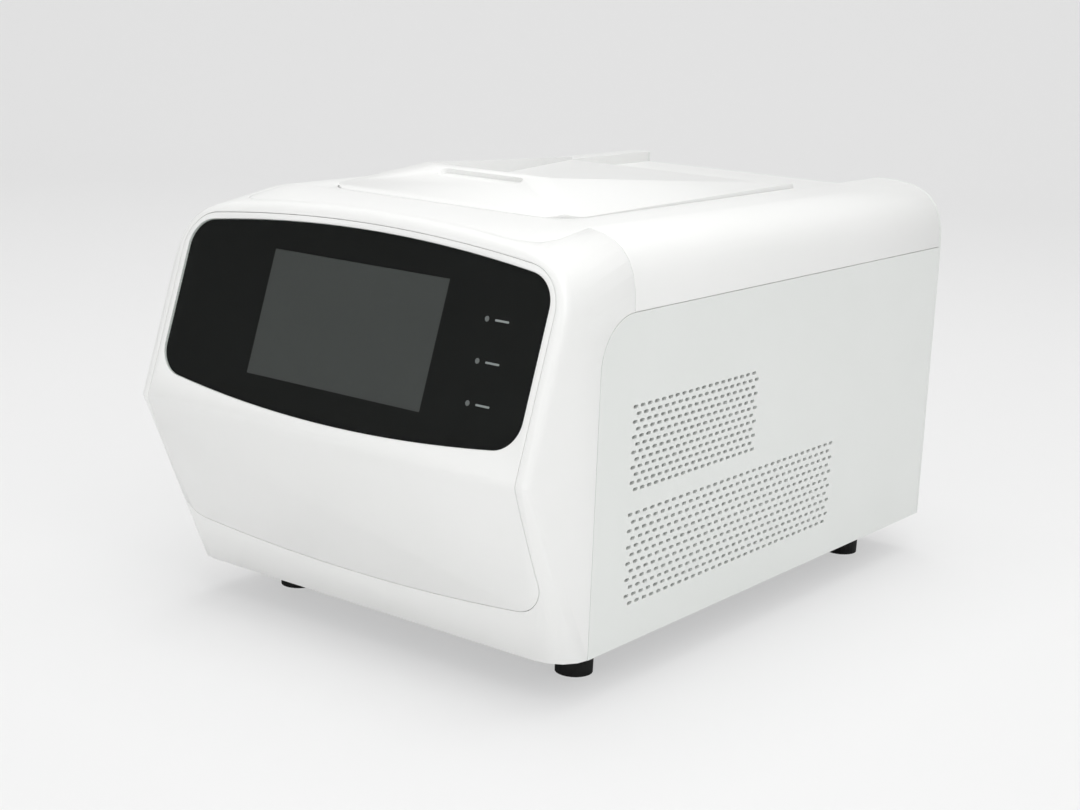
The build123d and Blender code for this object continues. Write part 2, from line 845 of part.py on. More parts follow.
def fan_frame(side, hole_distance):
    """Square fan housing on the plane z = 0, with spokes and a hub plate at its far end."""
    bore = side / 2 - fan_wall
    with BuildPart() as frame:
        with BuildSketch():
            Rectangle(side, side)
            RegularPolygon(bore, 16, mode=Mode.SUBTRACT)
            with GridLocations(2 * hole_distance, 2 * hole_distance, 2, 2):
                RegularPolygon(fan_hole_radius, 6, mode=Mode.SUBTRACT)
        extrude(amount=fan_depth)
        with BuildSketch(Plane.XY.offset(fan_depth - fan_spoke_depth)):
            RegularPolygon(fan_hub_radius, 12)
            Rectangle(2 * bore, fan_spoke)
            Rectangle(fan_spoke, 2 * bore)
        extrude(amount=fan_spoke_depth)
        Cylinder(fan_shaft_radius, fan_depth - 2 * blade_gap,
                 align=(Align.CENTER, Align.CENTER, Align.MIN))
        with BuildSketch():
            Circle(fan_shaft_radius)
        extrude(amount=2 * blade_gap, mode=Mode.SUBTRACT)
    return frame.part


def impeller(side):
    """Fan wheel in the place that fan_frame leaves for it, with slanted flat blades."""
    tip = side / 2 - fan_wall - 2 * blade_gap
    depth = fan_depth - fan_spoke_depth - 2 * blade_gap
    blade_length = tip - fan_hub_radius * cos(radians(15)) - blade_gap
    blade_depth = depth * 0.75
    with BuildPart() as wheel:
        with BuildSketch(Plane.XY.offset(blade_gap)):
            RegularPolygon(fan_hub_radius, 12)
        extrude(amount=depth)
        with Locations((0, 0, blade_gap + depth / 2)):
            with PolarLocations(fan_hub_radius * 0.9 + blade_length / 2, fan_blades):
                with Locations(Location((0, 0, 0), (blade_pitch, 0, 0))):
                    Box(blade_length, blade_thickness, blade_depth / cos(radians(blade_pitch)) * 0.8)
        Cylinder(fan_shaft_radius + running_gap, 4 * fan_depth, mode=Mode.SUBTRACT)
    return wheel.part


# Fans: their axes run along +Y at the rear and along +Z under the heat sink
right_fan_place = Plane(origin=(rear_fan_x, inner_rear - bond, rear_fan_z), x_dir=(1, 0, 0), z_dir=(0, -1, 0))
left_fan_place = Plane(origin=(-rear_fan_x, inner_rear - bond, rear_fan_z), x_dir=(1, 0, 0), z_dir=(0, -1, 0))
sink_bottom = block_top - block_height - peltier_height - sink_base - fin_height - 2 * bond
sink_fan_place = Plane(origin=(0, block_y, sink_bottom - bond), x_dir=(1, 0, 0), z_dir=(0, 0, -1))
sink_fan_hole = sink_fan_side / 2 - fan_hole_inset

with BuildPart() as rear_fan_frame_right:
    add(right_fan_place * fan_frame(rear_fan_side, fan_hole))
    rear_fan_frame_right.part.label = "rear_fan_frame_right"
export_step(rear_fan_frame_right.part, "parts/rear_fan_frame_right.step")

with BuildPart() as rear_fan_frame_left:
    add(left_fan_place * fan_frame(rear_fan_side, fan_hole))
    rear_fan_frame_left.part.label = "rear_fan_frame_left"
export_step(rear_fan_frame_left.part, "parts/rear_fan_frame_left.step")

with BuildPart() as sink_fan_frame:
    add(sink_fan_place * fan_frame(sink_fan_side, sink_fan_hole))
    sink_fan_frame.part.label = "sink_fan_frame"
export_step(sink_fan_frame.part, "parts/sink_fan_frame.step")

with BuildPart() as rear_impeller_right:
    add(right_fan_place * impeller(rear_fan_side))
    rear_impeller_right.part.label = "rear_impeller_right"
export_step(rear_impeller_right.part, "parts/rear_impeller_right.step")

with BuildPart() as rear_impeller_left:
    add(left_fan_place * impeller(rear_fan_side))
    rear_impeller_left.part.label = "rear_impeller_left"
export_step(rear_impeller_left.part, "parts/rear_impeller_left.step")

with BuildPart() as sink_impeller:
    add(sink_fan_place * impeller(sink_fan_side))
    sink_impeller.part.label = "sink_impeller"
export_step(sink_impeller.part, "parts/sink_impeller.step")

# Mains inlet with three pins, rocker switch above it
inlet_pin_places = [
    (inlet_x - pin_pitch, inlet_z - pin_offset / 2),
    (inlet_x + pin_pitch, inlet_z - pin_offset / 2),
    (inlet_x, inlet_z + pin_offset / 2),
]
with BuildPart() as power_inlet:
    slab(span(inlet_x, inlet_flange_width), (rear_y + bond, rear_y + fitting_flange),
         span(inlet_z, inlet_flange_height))
    slab(span(inlet_x, inlet_width), (rear_y - inlet_depth, rear_y + fitting_flange / 2),
         span(inlet_z, inlet_height))
    with BuildSketch(section_plane(rear_y + fitting_flange)):
        with Locations((inlet_x, inlet_z)):
            cavity = Rectangle(inlet_cavity_width, inlet_cavity_height)
        chamfer(cavity.vertices().group_by(Axis.Z)[-1], inlet_cavity_height / 4)
    extrude(amount=inlet_cavity_depth, mode=Mode.SUBTRACT)
    with BuildSketch(section_plane(rear_y)):
        with Locations(*inlet_pin_places):
            Rectangle(pin_thickness, pin_width)
    extrude(amount=inlet_depth, mode=Mode.SUBTRACT)
    power_inlet.part.label = "power_inlet"
export_step(power_inlet.part, "parts/power_inlet.step")

with BuildPart() as inlet_pins:
    with BuildSketch(section_plane(rear_y + fitting_flange - inlet_cavity_depth + pin_length)):
        with Locations(*inlet_pin_places):
            Rectangle(pin_thickness, pin_width)
    extrude(amount=pin_length + inlet_depth / 2)
    inlet_pins.part.label = "inlet_pins"
export_step(inlet_pins.part, "parts/inlet_pins.step")

rocker_space = switch_height - 2 * switch_wall
rocker_pivot_y = rear_y - rocker_setback
with BuildPart() as switch_housing:
    slab(span(inlet_x, switch_width + 2 * switch_border), (rear_y + bond, rear_y + fitting_flange),
         span(switch_z, switch_height + 2 * switch_border))
    slab(span(inlet_x, switch_width), (rear_y - switch_depth, rear_y + fitting_flange / 2),
         span(switch_z, switch_height))
    slab(span(inlet_x, switch_width - 2 * switch_wall), (rear_y - switch_depth + switch_wall, 2 * rear_y),
         span(switch_z, rocker_space), mode=Mode.SUBTRACT)
    with Locations(Location((inlet_x, rocker_pivot_y, switch_z), (0, 90, 0))):
        Cylinder(rocker_pin_radius, switch_width - switch_wall)
    switch_housing.part.label = "switch_housing"
export_step(switch_housing.part, "parts/switch_housing.step")

# Rocker, drawn level and then tilted to its off position
rocker_end = rocker_space / 2 - 2 * rocker_gap
rocker_face = rocker_pivot_y + rocker_front
rocker_corner = (rocker_pivot_y - rocker_back, rocker_end - rocker_taper)
with BuildPart() as power_rocker:
    with BuildSketch(Plane(origin=(inlet_x, 0, switch_z), x_dir=(0, 1, 0), z_dir=(1, 0, 0))):
        with BuildLine():
            ThreePointArc((rocker_face, -rocker_end), (rocker_face - rocker_dip, 0),
                          (rocker_face, rocker_end))
            Polyline((rocker_face, rocker_end), rocker_corner, (rocker_pivot_y - rocker_keel, 0),
                     (rocker_corner[0], -rocker_corner[1]), (rocker_face, -rocker_end))
        make_face()
    extrude(amount=switch_width / 2 - switch_wall - rocker_gap, both=True)
    with Locations(Location((inlet_x, rocker_pivot_y, switch_z), (0, 90, 0))):
        Cylinder(rocker_pin_radius + running_gap, switch_width, mode=Mode.SUBTRACT)
rocker_axis = Axis((inlet_x, rocker_pivot_y, switch_z), (1, 0, 0))
power_rocker.part = power_rocker.part.rotate(rocker_axis, -rocker_tilt)
power_rocker.part.label = "power_rocker"
export_step(power_rocker.part, "parts/power_rocker.step")

network_low = port_z - network_height / 2 + switch_wall
with BuildPart() as network_port:
    slab(span(port_x, network_width), (rear_y - network_depth, rear_y + bond), span(port_z, network_height))
    slab(span(port_x, network_cavity_width), (rear_y - network_depth + switch_wall, 2 * rear_y),
         (network_low, network_low + network_cavity_height), mode=Mode.SUBTRACT)
    network_port.part.label = "network_port"
export_step(network_port.part, "parts/network_port.step")

with BuildPart() as usb_ports:
    for z in usb_heights:
        slab(span(port_x, usb_width), (rear_y - usb_depth, rear_y + bond), span(z, usb_height))
        slab(span(port_x, usb_width - 2 * usb_wall), (rear_y - usb_depth + usb_wall, 2 * rear_y),
             span(z, usb_height - 2 * usb_wall), mode=Mode.SUBTRACT)
    usb_ports.part.label = "usb_ports"
export_step(usb_ports.part, "parts/usb_ports.step")

# Base pan and feet
feet = [(-foot_x, foot_front_y), (foot_x, foot_front_y), (-foot_x, foot_rear_y), (foot_x, foot_rear_y)]
pan_rear = inner_rear - fit
pan_inset = wall + fit
with BuildPart() as base_pan:
    with BuildSketch(Plane.XY.offset(casing_bottom)):
        with BuildLine():
            Polyline(*chin_outline(pan_inset, casing_bottom, chin_corner_radius - pan_inset), close=True)
        make_face()
    extrude(amount=pan_flange)
    with BuildSketch(Plane.XY.offset(casing_bottom + pan_sheet)):
        with BuildLine():
            Polyline(*chin_outline(pan_inset + pan_sheet, casing_bottom + pan_sheet,
                                   chin_corner_radius - pan_inset - pan_sheet), close=True)
        make_face()
    extrude(amount=2 * pan_flange, mode=Mode.SUBTRACT)
    slab((-half, half), (pan_rear, 2 * rear_y), (0, 2 * casing_bottom), mode=Mode.SUBTRACT)
    slab((-half + wall + fit, half - wall - fit), (pan_rear - pan_sheet, pan_rear),
         (casing_bottom, casing_bottom + pan_flange))
    with BuildSketch(Plane.XY.offset(casing_bottom)):
        with Locations(*feet):
            RegularPolygon(foot_bore_radius, 8)
    extrude(amount=2 * pan_sheet, mode=Mode.SUBTRACT)
    with BuildSketch(section_plane(rear_y)):
        with Locations(*panel_screw_places):
            RegularPolygon(fan_hole_radius, 6)
    extrude(amount=2 * wall + pan_sheet, mode=Mode.SUBTRACT)
    base_pan.part.label = "base_pan"
export_step(base_pan.part, "parts/base_pan.step")

with BuildPart() as one_foot:
    add(facet_solid([ring_points(foot_bottom_radius, foot_facets, 0),
                     ring_points(foot_top_radius, foot_facets, casing_bottom)]))
    with BuildSketch():
        RegularPolygon(foot_recess_radius, 8)
    extrude(amount=foot_recess_depth, mode=Mode.SUBTRACT)
    with BuildSketch():
        RegularPolygon(foot_bore_radius, 8)
    extrude(amount=casing_bottom, mode=Mode.SUBTRACT)

with BuildPart() as rubber_feet:
    with Locations(*feet):
        add(one_foot.part)
    rubber_feet.part.label = "rubber_feet"
export_step(rubber_feet.part, "parts/rubber_feet.step")

with BuildPart() as foot_screws:
    with BuildSketch(Plane.XY.offset(foot_recess_depth - foot_screw_head_height)):
        with Locations(*feet):
            RegularPolygon(foot_screw_head_radius, 8)
    extrude(amount=foot_screw_head_height)
    with BuildSketch(Plane.XY.offset(foot_recess_depth)):
        with Locations(*feet):
            RegularPolygon(foot_screw_radius, 8)
    extrude(amount=foot_screw_end - foot_recess_depth)
    with BuildSketch(Plane.XY.offset(casing_bottom + pan_sheet)):
        with Locations(*feet):
            RegularPolygon(foot_screw_head_radius, 6)
    extrude(amount=foot_screw_head_height)
    foot_screws.part.label = "foot_screws"
export_step(foot_screws.part, "parts/foot_screws.step")

# Frame plates that carry the rails, the deck and the top cover
pan_top = casing_bottom + pan_sheet
ear_top = channel_floor - rim_wall - bond
frame_outer = frame_x + frame_sheet
with BuildPart() as frame_plate_right:
    with BuildSketch(Plane.YZ.offset(frame_x)):
        with BuildLine():
            Polyline((frame_front, pan_top), (frame_rear, pan_top), (frame_rear, ear_low),
                     (ear_rear, ear_low), (ear_rear, ear_top), (frame_rear, ear_top),
                     (frame_rear, frame_top), (frame_front, frame_top), close=True)
        make_face()
        with Locations(((frame_front + frame_rear) / 2, frame_window_z)):
            with GridLocations(frame_window_pitch, 0, frame_window_count, 1):
                Rectangle(frame_window_length, frame_window_height, mode=Mode.SUBTRACT)
    extrude(amount=frame_sheet)
    slab((frame_x, frame_outer + frame_foot), (frame_front, frame_rear), (pan_top, pan_top + frame_sheet))
    slab((frame_x - shelf_width, frame_outer), (rail_front, rail_rear), (frame_top - frame_sheet, frame_top))
    slab((channel_half_width, frame_outer), (frame_rear, ear_rear), (ear_top - frame_sheet, ear_top))
    frame_plate_right.part.label = "frame_plate_right"
export_step(frame_plate_right.part, "parts/frame_plate_right.step")

with BuildPart() as frame_plate_left:
    add(mirror(frame_plate_right.part, about=Plane.YZ))
    frame_plate_left.part.label = "frame_plate_left"
export_step(frame_plate_left.part, "parts/frame_plate_left.step")

with BuildPart() as slide_rails:
    for side in (-1, 1):
        slab(span(side * rail_x, rail_width), (rail_front, rail_rear), (frame_top, frame_top + rail_height))
    slide_rails.part.label = "slide_rails"
export_step(slide_rails.part, "parts/slide_rails.step")

# Deck round the thermal block
deck_half = frame_x - bond
with BuildPart() as deck_plate:
    slab((-deck_half, deck_half), (deck_front, deck_rear), (deck_top - deck_flange, deck_top))
    slab((-deck_half + deck_sheet, deck_half - deck_sheet), (deck_front + deck_sheet, deck_rear - deck_sheet),
         (0, deck_top - deck_sheet), mode=Mode.SUBTRACT)
    slab(span(0, block_length + 2 * block_gap), span(block_y, block_depth + 2 * block_gap),
         (0, 2 * deck_top), mode=Mode.SUBTRACT)
    deck_plate.part.label = "deck_plate"
export_step(deck_plate.part, "parts/deck_plate.step")

with BuildPart() as block_collar:
    with BuildSketch(Plane.XY.offset(deck_top)):
        with Locations((0, block_y)):
            Rectangle(block_length + 2 * collar_width, block_depth + 2 * collar_width)
            Rectangle(block_length + 2 * bond, block_depth + 2 * bond, mode=Mode.SUBTRACT)
    extrude(amount=collar_height)
    block_collar.part.label = "block_collar"
export_step(block_collar.part, "parts/block_collar.step")

one_well = facet_solid([ring_points(well_radius, well_sides, 0),
                        ring_points(well_tip_radius, well_sides, -well_depth)])
block_bottom = block_top - block_height
with BuildPart() as sample_block:
    with Locations((0, block_y, block_bottom)):
        Box(block_length, block_depth, block_height, align=(Align.CENTER, Align.CENTER, Align.MIN))
        Box(flange_length, flange_depth, flange_height, align=(Align.CENTER, Align.CENTER, Align.MIN))
    with Locations((0, block_y, block_top)):
        with GridLocations(well_pitch, well_pitch, well_columns, well_rows):
            add(one_well, mode=Mode.SUBTRACT)
    sample_block.part.label = "sample_block"
export_step(sample_block.part, "parts/sample_block.step")

with BuildPart() as peltier_modules:
    with Locations((0, block_y, block_bottom - bond - peltier_height)):
        with GridLocations(peltier_pitch, peltier_pitch, 3, 2):
            Box(peltier_side, peltier_side, peltier_height, align=(Align.CENTER, Align.CENTER, Align.MIN))
    peltier_modules.part.label = "peltier_modules"
export_step(peltier_modules.part, "parts/peltier_modules.step")

sink_top = sink_bottom + fin_height + sink_base
with BuildPart() as heat_sink:
    with Locations((0, block_y, sink_bottom + fin_height)):
        Box(sink_length, sink_depth, sink_base, align=(Align.CENTER, Align.CENTER, Align.MIN))
    with Locations((0, block_y, sink_bottom)):
        with GridLocations((sink_length - fin_thickness) / (fin_count - 1), 0, fin_count, 1):
            Box(fin_thickness, sink_depth, fin_height, align=(Align.CENTER, Align.CENTER, Align.MIN))
    heat_sink.part.label = "heat_sink"
export_step(heat_sink.part, "parts/heat_sink.step")

with BuildPart() as sink_posts:
    with BuildSketch(Plane.XY.offset(sink_top)):
        with Locations((0, block_y)):
            with GridLocations(2 * post_x, 2 * post_y, 2, 2):
                RegularPolygon(post_radius, 6)
    extrude(amount=deck_top - deck_sheet - sink_top)
    sink_posts.part.label = "sink_posts"
export_step(sink_posts.part, "parts/sink_posts.step")

# Electronics
with BuildPart() as power_supply:
    with Locations((supply_x, supply_y, pan_top)):
        Box(supply_width, supply_length, supply_height, align=(Align.CENTER, Align.CENTER, Align.MIN))
    power_supply.part.label = "power_supply"
export_step(power_supply.part, "parts/power_supply.step")

board_bottom = pan_top + standoff_height
with BuildPart() as board_standoffs:
    with BuildSketch(Plane.XY.offset(pan_top)):
        with Locations((board_x, board_y)):
            with GridLocations(board_width - 2 * standoff_inset, board_length - 2 * standoff_inset, 2, 2):
                RegularPolygon(standoff_radius, 6)
    extrude(amount=standoff_height)
    board_standoffs.part.label = "board_standoffs"
export_step(board_standoffs.part, "parts/board_standoffs.step")

with BuildPart() as control_board:
    with Locations((board_x, board_y, board_bottom)):
        Box(board_width, board_length, board_thickness, align=(Align.CENTER, Align.CENTER, Align.MIN))
    control_board.part.label = "control_board"
export_step(control_board.part, "parts/control_board.step")

with BuildPart() as board_chips:
    with Locations((board_x, board_y, board_bottom + board_thickness)):
        with GridLocations(chip_pitch, chip_pitch, 2, 3):
            Box(chip_side, chip_side, chip_height, align=(Align.CENTER, Align.CENTER, Align.MIN))
        with Locations((0, -board_length / 2 + connector_depth)):
            Box(connector_length, connector_depth, connector_height,
                align=(Align.CENTER, Align.CENTER, Align.MIN))
    board_chips.part.label = "board_chips"
export_step(board_chips.part, "parts/board_chips.step")


def lid_plan(inset):
    """Plan of the lid, drawn in by inset."""
    side_x = aperture_half_width - lid_gap - inset
    front = aperture_front + lid_gap + inset
    with BuildSketch() as outline:
        with BuildLine():
            Polyline((-side_x, lid_rear - inset), (-side_x, front), (side_x, front),
                     (side_x, lid_rear - inset), close=True)
        make_face()
        fillet(outline.vertices().sort_by(Axis.Y)[:2], aperture_corner_radius - lid_gap - inset)
    return outline.sketch


def facet_slope():
    """Rise of the lid's front facet, in millimetres per millimetre."""
    return (crest_height - deck_height) / (crest_y - lid_front_edge)


def lid_facets(inset):
    """Raised part of the lid: front facet, twisted side facets and a flat sloping top."""
    side_x = aperture_half_width - lid_gap - inset
    drop = inset / cos(atan2(crest_height - deck_height, crest_y - lid_front_edge))
    crest_z = crest_height - inset * 1.1
    rear_z = ridge_rear_height - inset * 1.1
    base_z = deck_height - inset
    front = lid_front_edge + (base_z + drop - deck_height) / facet_slope()
    crest = lid_front_edge + (crest_z + drop - deck_height) / facet_slope()
    base = [(-side_x, front, base_z), (side_x, front, base_z), (side_x, lid_rear - inset, base_z),
            (-side_x, lid_rear - inset, base_z)]
    crest_x = crest_half_width - inset * 0.5
    ridge_x = ridge_rear_half_width - inset
    top = [(-crest_x, crest, crest_z), (crest_x, crest, crest_z), (ridge_x, lid_rear - inset, rear_z),
           (-ridge_x, lid_rear - inset, rear_z)]
    return facet_solid([base, top])


def dish(grow):
    """Space of the dish behind the crest, open to the rear, grown by grow."""
    rise = 2 * (crest_height - dish_floor)
    draft = tan(radians(dish_draft))
    floor_z = dish_floor - grow
    front = crest_y + ridge_width + (crest_height - dish_floor) * draft - grow
    front_x = crest_half_width - ridge_width - (crest_height - dish_floor) * draft + grow
    rear_x = ridge_rear_half_width - ridge_width - (ridge_rear_height - dish_floor) * draft + grow
    widen = (rear_x - front_x) / (lid_rear - front)
    rear = 1.2 * lid_rear
    rear_x = front_x + widen * (rear - front)
    spread = (rise + grow) * draft
    high_z = floor_z + rise + grow
    low = [(-front_x, front, floor_z), (front_x, front, floor_z), (rear_x, rear, floor_z),
           (-rear_x, rear, floor_z)]
    high = [(-front_x - spread, front - spread, high_z), (front_x + spread, front - spread, high_z),
            (rear_x + spread, rear, high_z), (-rear_x - spread, rear, high_z)]
    return facet_solid([low, high])


facet_angle = degrees(atan2(crest_height - deck_height, crest_y - lid_front_edge))
facet_plane = Plane(
    origin=(0, lid_front_edge, deck_height),
    x_dir=(1, 0, 0),
    z_dir=(0, -sin(radians(facet_angle)), cos(radians(facet_angle))),
)


def slot_points(plane, length, width, up):
    """Outline of a round-ended slot in a plane, its middle at the height up."""
    points = []
    for side in (1, -1):
        for step in range(grip_chords + 1):
            turn = pi * step / grip_chords - pi / 2
            x = side * (length / 2 - width / 2 + width / 2 * cos(turn))
            points.append(tuple(plane.from_local_coords((x, up + side * width / 2 * sin(turn), 0))))
    return points


def grip_pocket(grow):
    """Finger pocket in the front facet of the lid, grown by grow."""
    length = grip_length + 2 * grow
    width = grip_width + 2 * grow
    narrowing = grip_width * (1 - grip_floor_share)
    mouth = slot_points(facet_plane.offset(grow), length, width, grip_up)
    floor = slot_points(facet_plane.offset(-grip_depth - grow), length - narrowing, width - narrowing,
                        grip_up + narrowing / 2)
    return facet_solid([mouth, floor])


# Lid: raised facets with a dish behind the crest, hollow below
with BuildPart() as lid_cover:
    extrude(Plane.XY.offset(lid_skirt_bottom) * lid_plan(0), amount=deck_height - lid_skirt_bottom)
    add(lid_facets(0))
    extrude(Plane.XY.offset(lid_skirt_bottom) * lid_plan(0), amount=2 * crest_height, mode=Mode.INTERSECT)
    add(dish(0), mode=Mode.SUBTRACT)
    add(grip_pocket(0), mode=Mode.SUBTRACT)
with BuildPart() as lid_hollow:
    extrude(
        Plane.XY.offset(lid_skirt_bottom - lid_wall) * lid_plan(lid_wall),
        amount=dish_floor - dish_thickness - lid_skirt_bottom + lid_wall,
    )
    add(lid_facets(lid_wall))
    add(dish(dish_thickness), mode=Mode.SUBTRACT)
    add(grip_pocket(lid_wall), mode=Mode.SUBTRACT)
with BuildPart() as lid_cover_shell:
    add(lid_cover.part)
    add(lid_hollow.part, mode=Mode.SUBTRACT)
    lid_cover_shell.part.label = "lid_cover"
export_step(lid_cover_shell.part, "parts/lid_cover.step")

# Carriage under the lid, with guide blocks on the rails
carriage_top = carriage_bottom + carriage_thickness
skirt_x = aperture_half_width - lid_gap - lid_wall / 2
window_front = carriage_front + carriage_window_border
window_rear = tray_rear - tray_sheet
with BuildPart() as carriage:
    slab(span(0, 2 * carriage_half_width), (carriage_front, carriage_rear), (carriage_bottom, carriage_top))
    slab(span(0, 2 * carriage_window_half), (window_front, window_rear), (0, 2 * carriage_top),
         mode=Mode.SUBTRACT)
    for side in (-1, 1):
        slab(span(side * skirt_x, lid_wall), (carriage_front + aperture_corner_radius, carriage_rear),
             (carriage_bottom, lid_skirt_bottom - bond))
    carriage.part.label = "carriage"
export_step(carriage.part, "parts/carriage.step")

guide_front_y = carriage_front + guide_inset + guide_length / 2
guide_rear_y = carriage_rear - guide_inset - guide_length / 2
with BuildPart() as guide_blocks:
    for y in (guide_front_y, guide_rear_y):
        for side in (-1, 1):
            slab(span(side * rail_x, guide_width), span(y, guide_length), (guide_bottom, carriage_bottom))
    for side in (-1, 1):
        slab(span(side * rail_x, rail_width + 2 * slide_gap), (2 * carriage_front, 2 * lid_rear),
             (0, frame_top + rail_height + slide_gap), mode=Mode.SUBTRACT)
    guide_blocks.part.label = "guide_blocks"
export_step(guide_blocks.part, "parts/guide_blocks.step")

# Optics tray with its rods, lead screw and motor
tray_inner = tray_half_width - tray_sheet
head_y = block_y
rod_ys = [head_y - rod_spacing / 2, head_y + rod_spacing / 2]
with BuildPart() as optics_tray:
    slab((-tray_half_width, tray_half_width), (carriage_front, tray_rear), (tray_bottom, carriage_bottom))
    slab((-tray_inner, tray_inner), (carriage_front + tray_sheet, tray_rear - tray_sheet),
         (tray_bottom + tray_sheet, 2 * carriage_bottom), mode=Mode.SUBTRACT)
    slab(span(0, tray_window_length), span(head_y, tray_window_depth), (0, 2 * tray_bottom),
         mode=Mode.SUBTRACT)
    with BuildSketch(Plane.YZ):
        with Locations(*[(y, optics_height) for y in rod_ys]):
            RegularPolygon(rod_radius + bond, 12, major_radius=False)
        with Locations((screw_y, optics_height)):
            Circle(lead_radius + running_gap)
    extrude(amount=2 * tray_half_width, both=True, mode=Mode.SUBTRACT)
    optics_tray.part.label = "optics_tray"
export_step(optics_tray.part, "parts/optics_tray.step")

with BuildPart() as scan_rods:
    with BuildSketch(Plane.YZ):
        with Locations(*[(y, optics_height) for y in rod_ys]):
            Circle(rod_radius)
    extrude(amount=tray_half_width, both=True)
    scan_rods.part.label = "scan_rods"
export_step(scan_rods.part, "parts/scan_rods.step")

motor_face = motor_x - bracket_thickness
with BuildPart() as lead_screw:
    with BuildSketch(Plane.YZ.offset(-tray_half_width + lead_end_gap)):
        with Locations((screw_y, optics_height)):
            Circle(lead_radius)
    extrude(amount=tray_half_width - 2 * lead_end_gap + motor_x)
    lead_screw.part.label = "lead_screw"
export_step(lead_screw.part, "parts/lead_screw.step")

with BuildPart() as motor_bracket:
    slab((motor_face, motor_x), span(screw_y, motor_side),
         (tray_bottom + tray_sheet, optics_height + motor_side / 2))
    with BuildSketch(Plane.YZ.offset(motor_face)):
        with Locations((screw_y, optics_height)):
            RegularPolygon(motor_boss_radius, 16)
    extrude(amount=2 * bracket_thickness, mode=Mode.SUBTRACT)
    motor_bracket.part.label = "motor_bracket"
export_step(motor_bracket.part, "parts/motor_bracket.step")

with BuildPart() as scan_motor:
    slab((motor_x + bond, motor_x + motor_length), span(screw_y, motor_side), span(optics_height, motor_side))
    with BuildSketch(Plane.YZ.offset(motor_face)):
        with Locations((screw_y, optics_height)):
            RegularPolygon(motor_boss_radius - bond, 16)
            Circle(lead_radius + running_gap, mode=Mode.SUBTRACT)
    extrude(amount=bracket_thickness + 2 * bond)
    scan_motor.part.label = "scan_motor"
export_step(scan_motor.part, "parts/scan_motor.step")

# Scan head with its row of lenses
lens_x = head_start
with BuildPart() as scan_head:
    slab(span(head_start, head_width), span(head_y, head_depth), (head_bottom, head_bottom + head_height))
    slab(span(head_start, nut_width), (head_y + head_depth / 2 - wall, nut_rear),
         span(optics_height, nut_height))
    with BuildSketch(Plane.YZ):
        with Locations(*[(y, optics_height) for y in rod_ys]):
            Circle(rod_radius + running_gap)
        with Locations((screw_y, optics_height)):
            Circle(lead_radius + running_gap)
    extrude(amount=2 * tray_half_width, both=True, mode=Mode.SUBTRACT)
    with BuildSketch(Plane.XY.offset(head_bottom)):
        with Locations((lens_x, head_y)):
            with GridLocations(0, well_pitch, 1, well_rows):
                RegularPolygon(lens_radius, 8)
    extrude(amount=lens_rise, mode=Mode.SUBTRACT)
    scan_head.part.label = "scan_head"
export_step(scan_head.part, "parts/scan_head.step")

with BuildPart() as lenses:
    with BuildSketch(Plane.XY.offset(head_bottom - lens_drop)):
        with Locations((lens_x, head_y)):
            with GridLocations(0, well_pitch, 1, well_rows):
                RegularPolygon(lens_radius, 8)
    extrude(amount=lens_drop + lens_rise)
    lenses.part.label = "lenses"
export_step(lenses.part, "parts/lenses.step")

# Heated platen on four shouldered pins under the tray
pin_x = platen_length / 2 - pin_inset
pin_y = platen_depth / 2 - pin_inset
pin_head_top = platen_bottom + pin_recess - platen_gap
with BuildPart() as heated_platen:
    with BuildSketch(Plane.XY.offset(platen_bottom)):
        with Locations((0, block_y)):
            Rectangle(platen_length, platen_depth)
            with GridLocations(well_pitch, well_pitch, well_columns, well_rows):
                RegularPolygon(platen_hole_radius, 4, mode=Mode.SUBTRACT)
            with GridLocations(2 * pin_x, 2 * pin_y, 2, 2):
                RegularPolygon(pin_radius + slide_gap, 8, mode=Mode.SUBTRACT)
    extrude(amount=platen_thickness)
    with BuildSketch(Plane.XY.offset(platen_bottom)):
        with Locations((0, block_y)):
            with GridLocations(2 * pin_x, 2 * pin_y, 2, 2):
                RegularPolygon(pin_head_radius + platen_gap, 8)
    extrude(amount=pin_recess, mode=Mode.SUBTRACT)
    heated_platen.part.label = "heated_platen"
export_step(heated_platen.part, "parts/heated_platen.step")

with BuildPart() as platen_pins:
    with BuildSketch(Plane.XY.offset(pin_head_top)):
        with Locations((0, block_y)):
            with GridLocations(2 * pin_x, 2 * pin_y, 2, 2):
                RegularPolygon(pin_radius, 8)
    extrude(amount=tray_bottom - pin_head_top)
    with BuildSketch(Plane.XY.offset(pin_head_top)):
        with Locations((0, block_y)):
            with GridLocations(2 * pin_x, 2 * pin_y, 2, 2):
                RegularPolygon(pin_head_radius, 8)
    extrude(amount=-pin_head_height)
    platen_pins.part.label = "platen_pins"
export_step(platen_pins.part, "parts/platen_pins.step")
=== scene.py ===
"""Looks of a benchtop real-time PCR machine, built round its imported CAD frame.

Everything is in metres in the frame of the CAD part: +X to the right seen from the front, +Y to the
back, +Z up, with the origin on the bench under the middle of the machine.
"""

import logging
import math
from dataclasses import dataclass, field
from enum import Enum

import bmesh
import bpy
from mathutils import Matrix, Vector


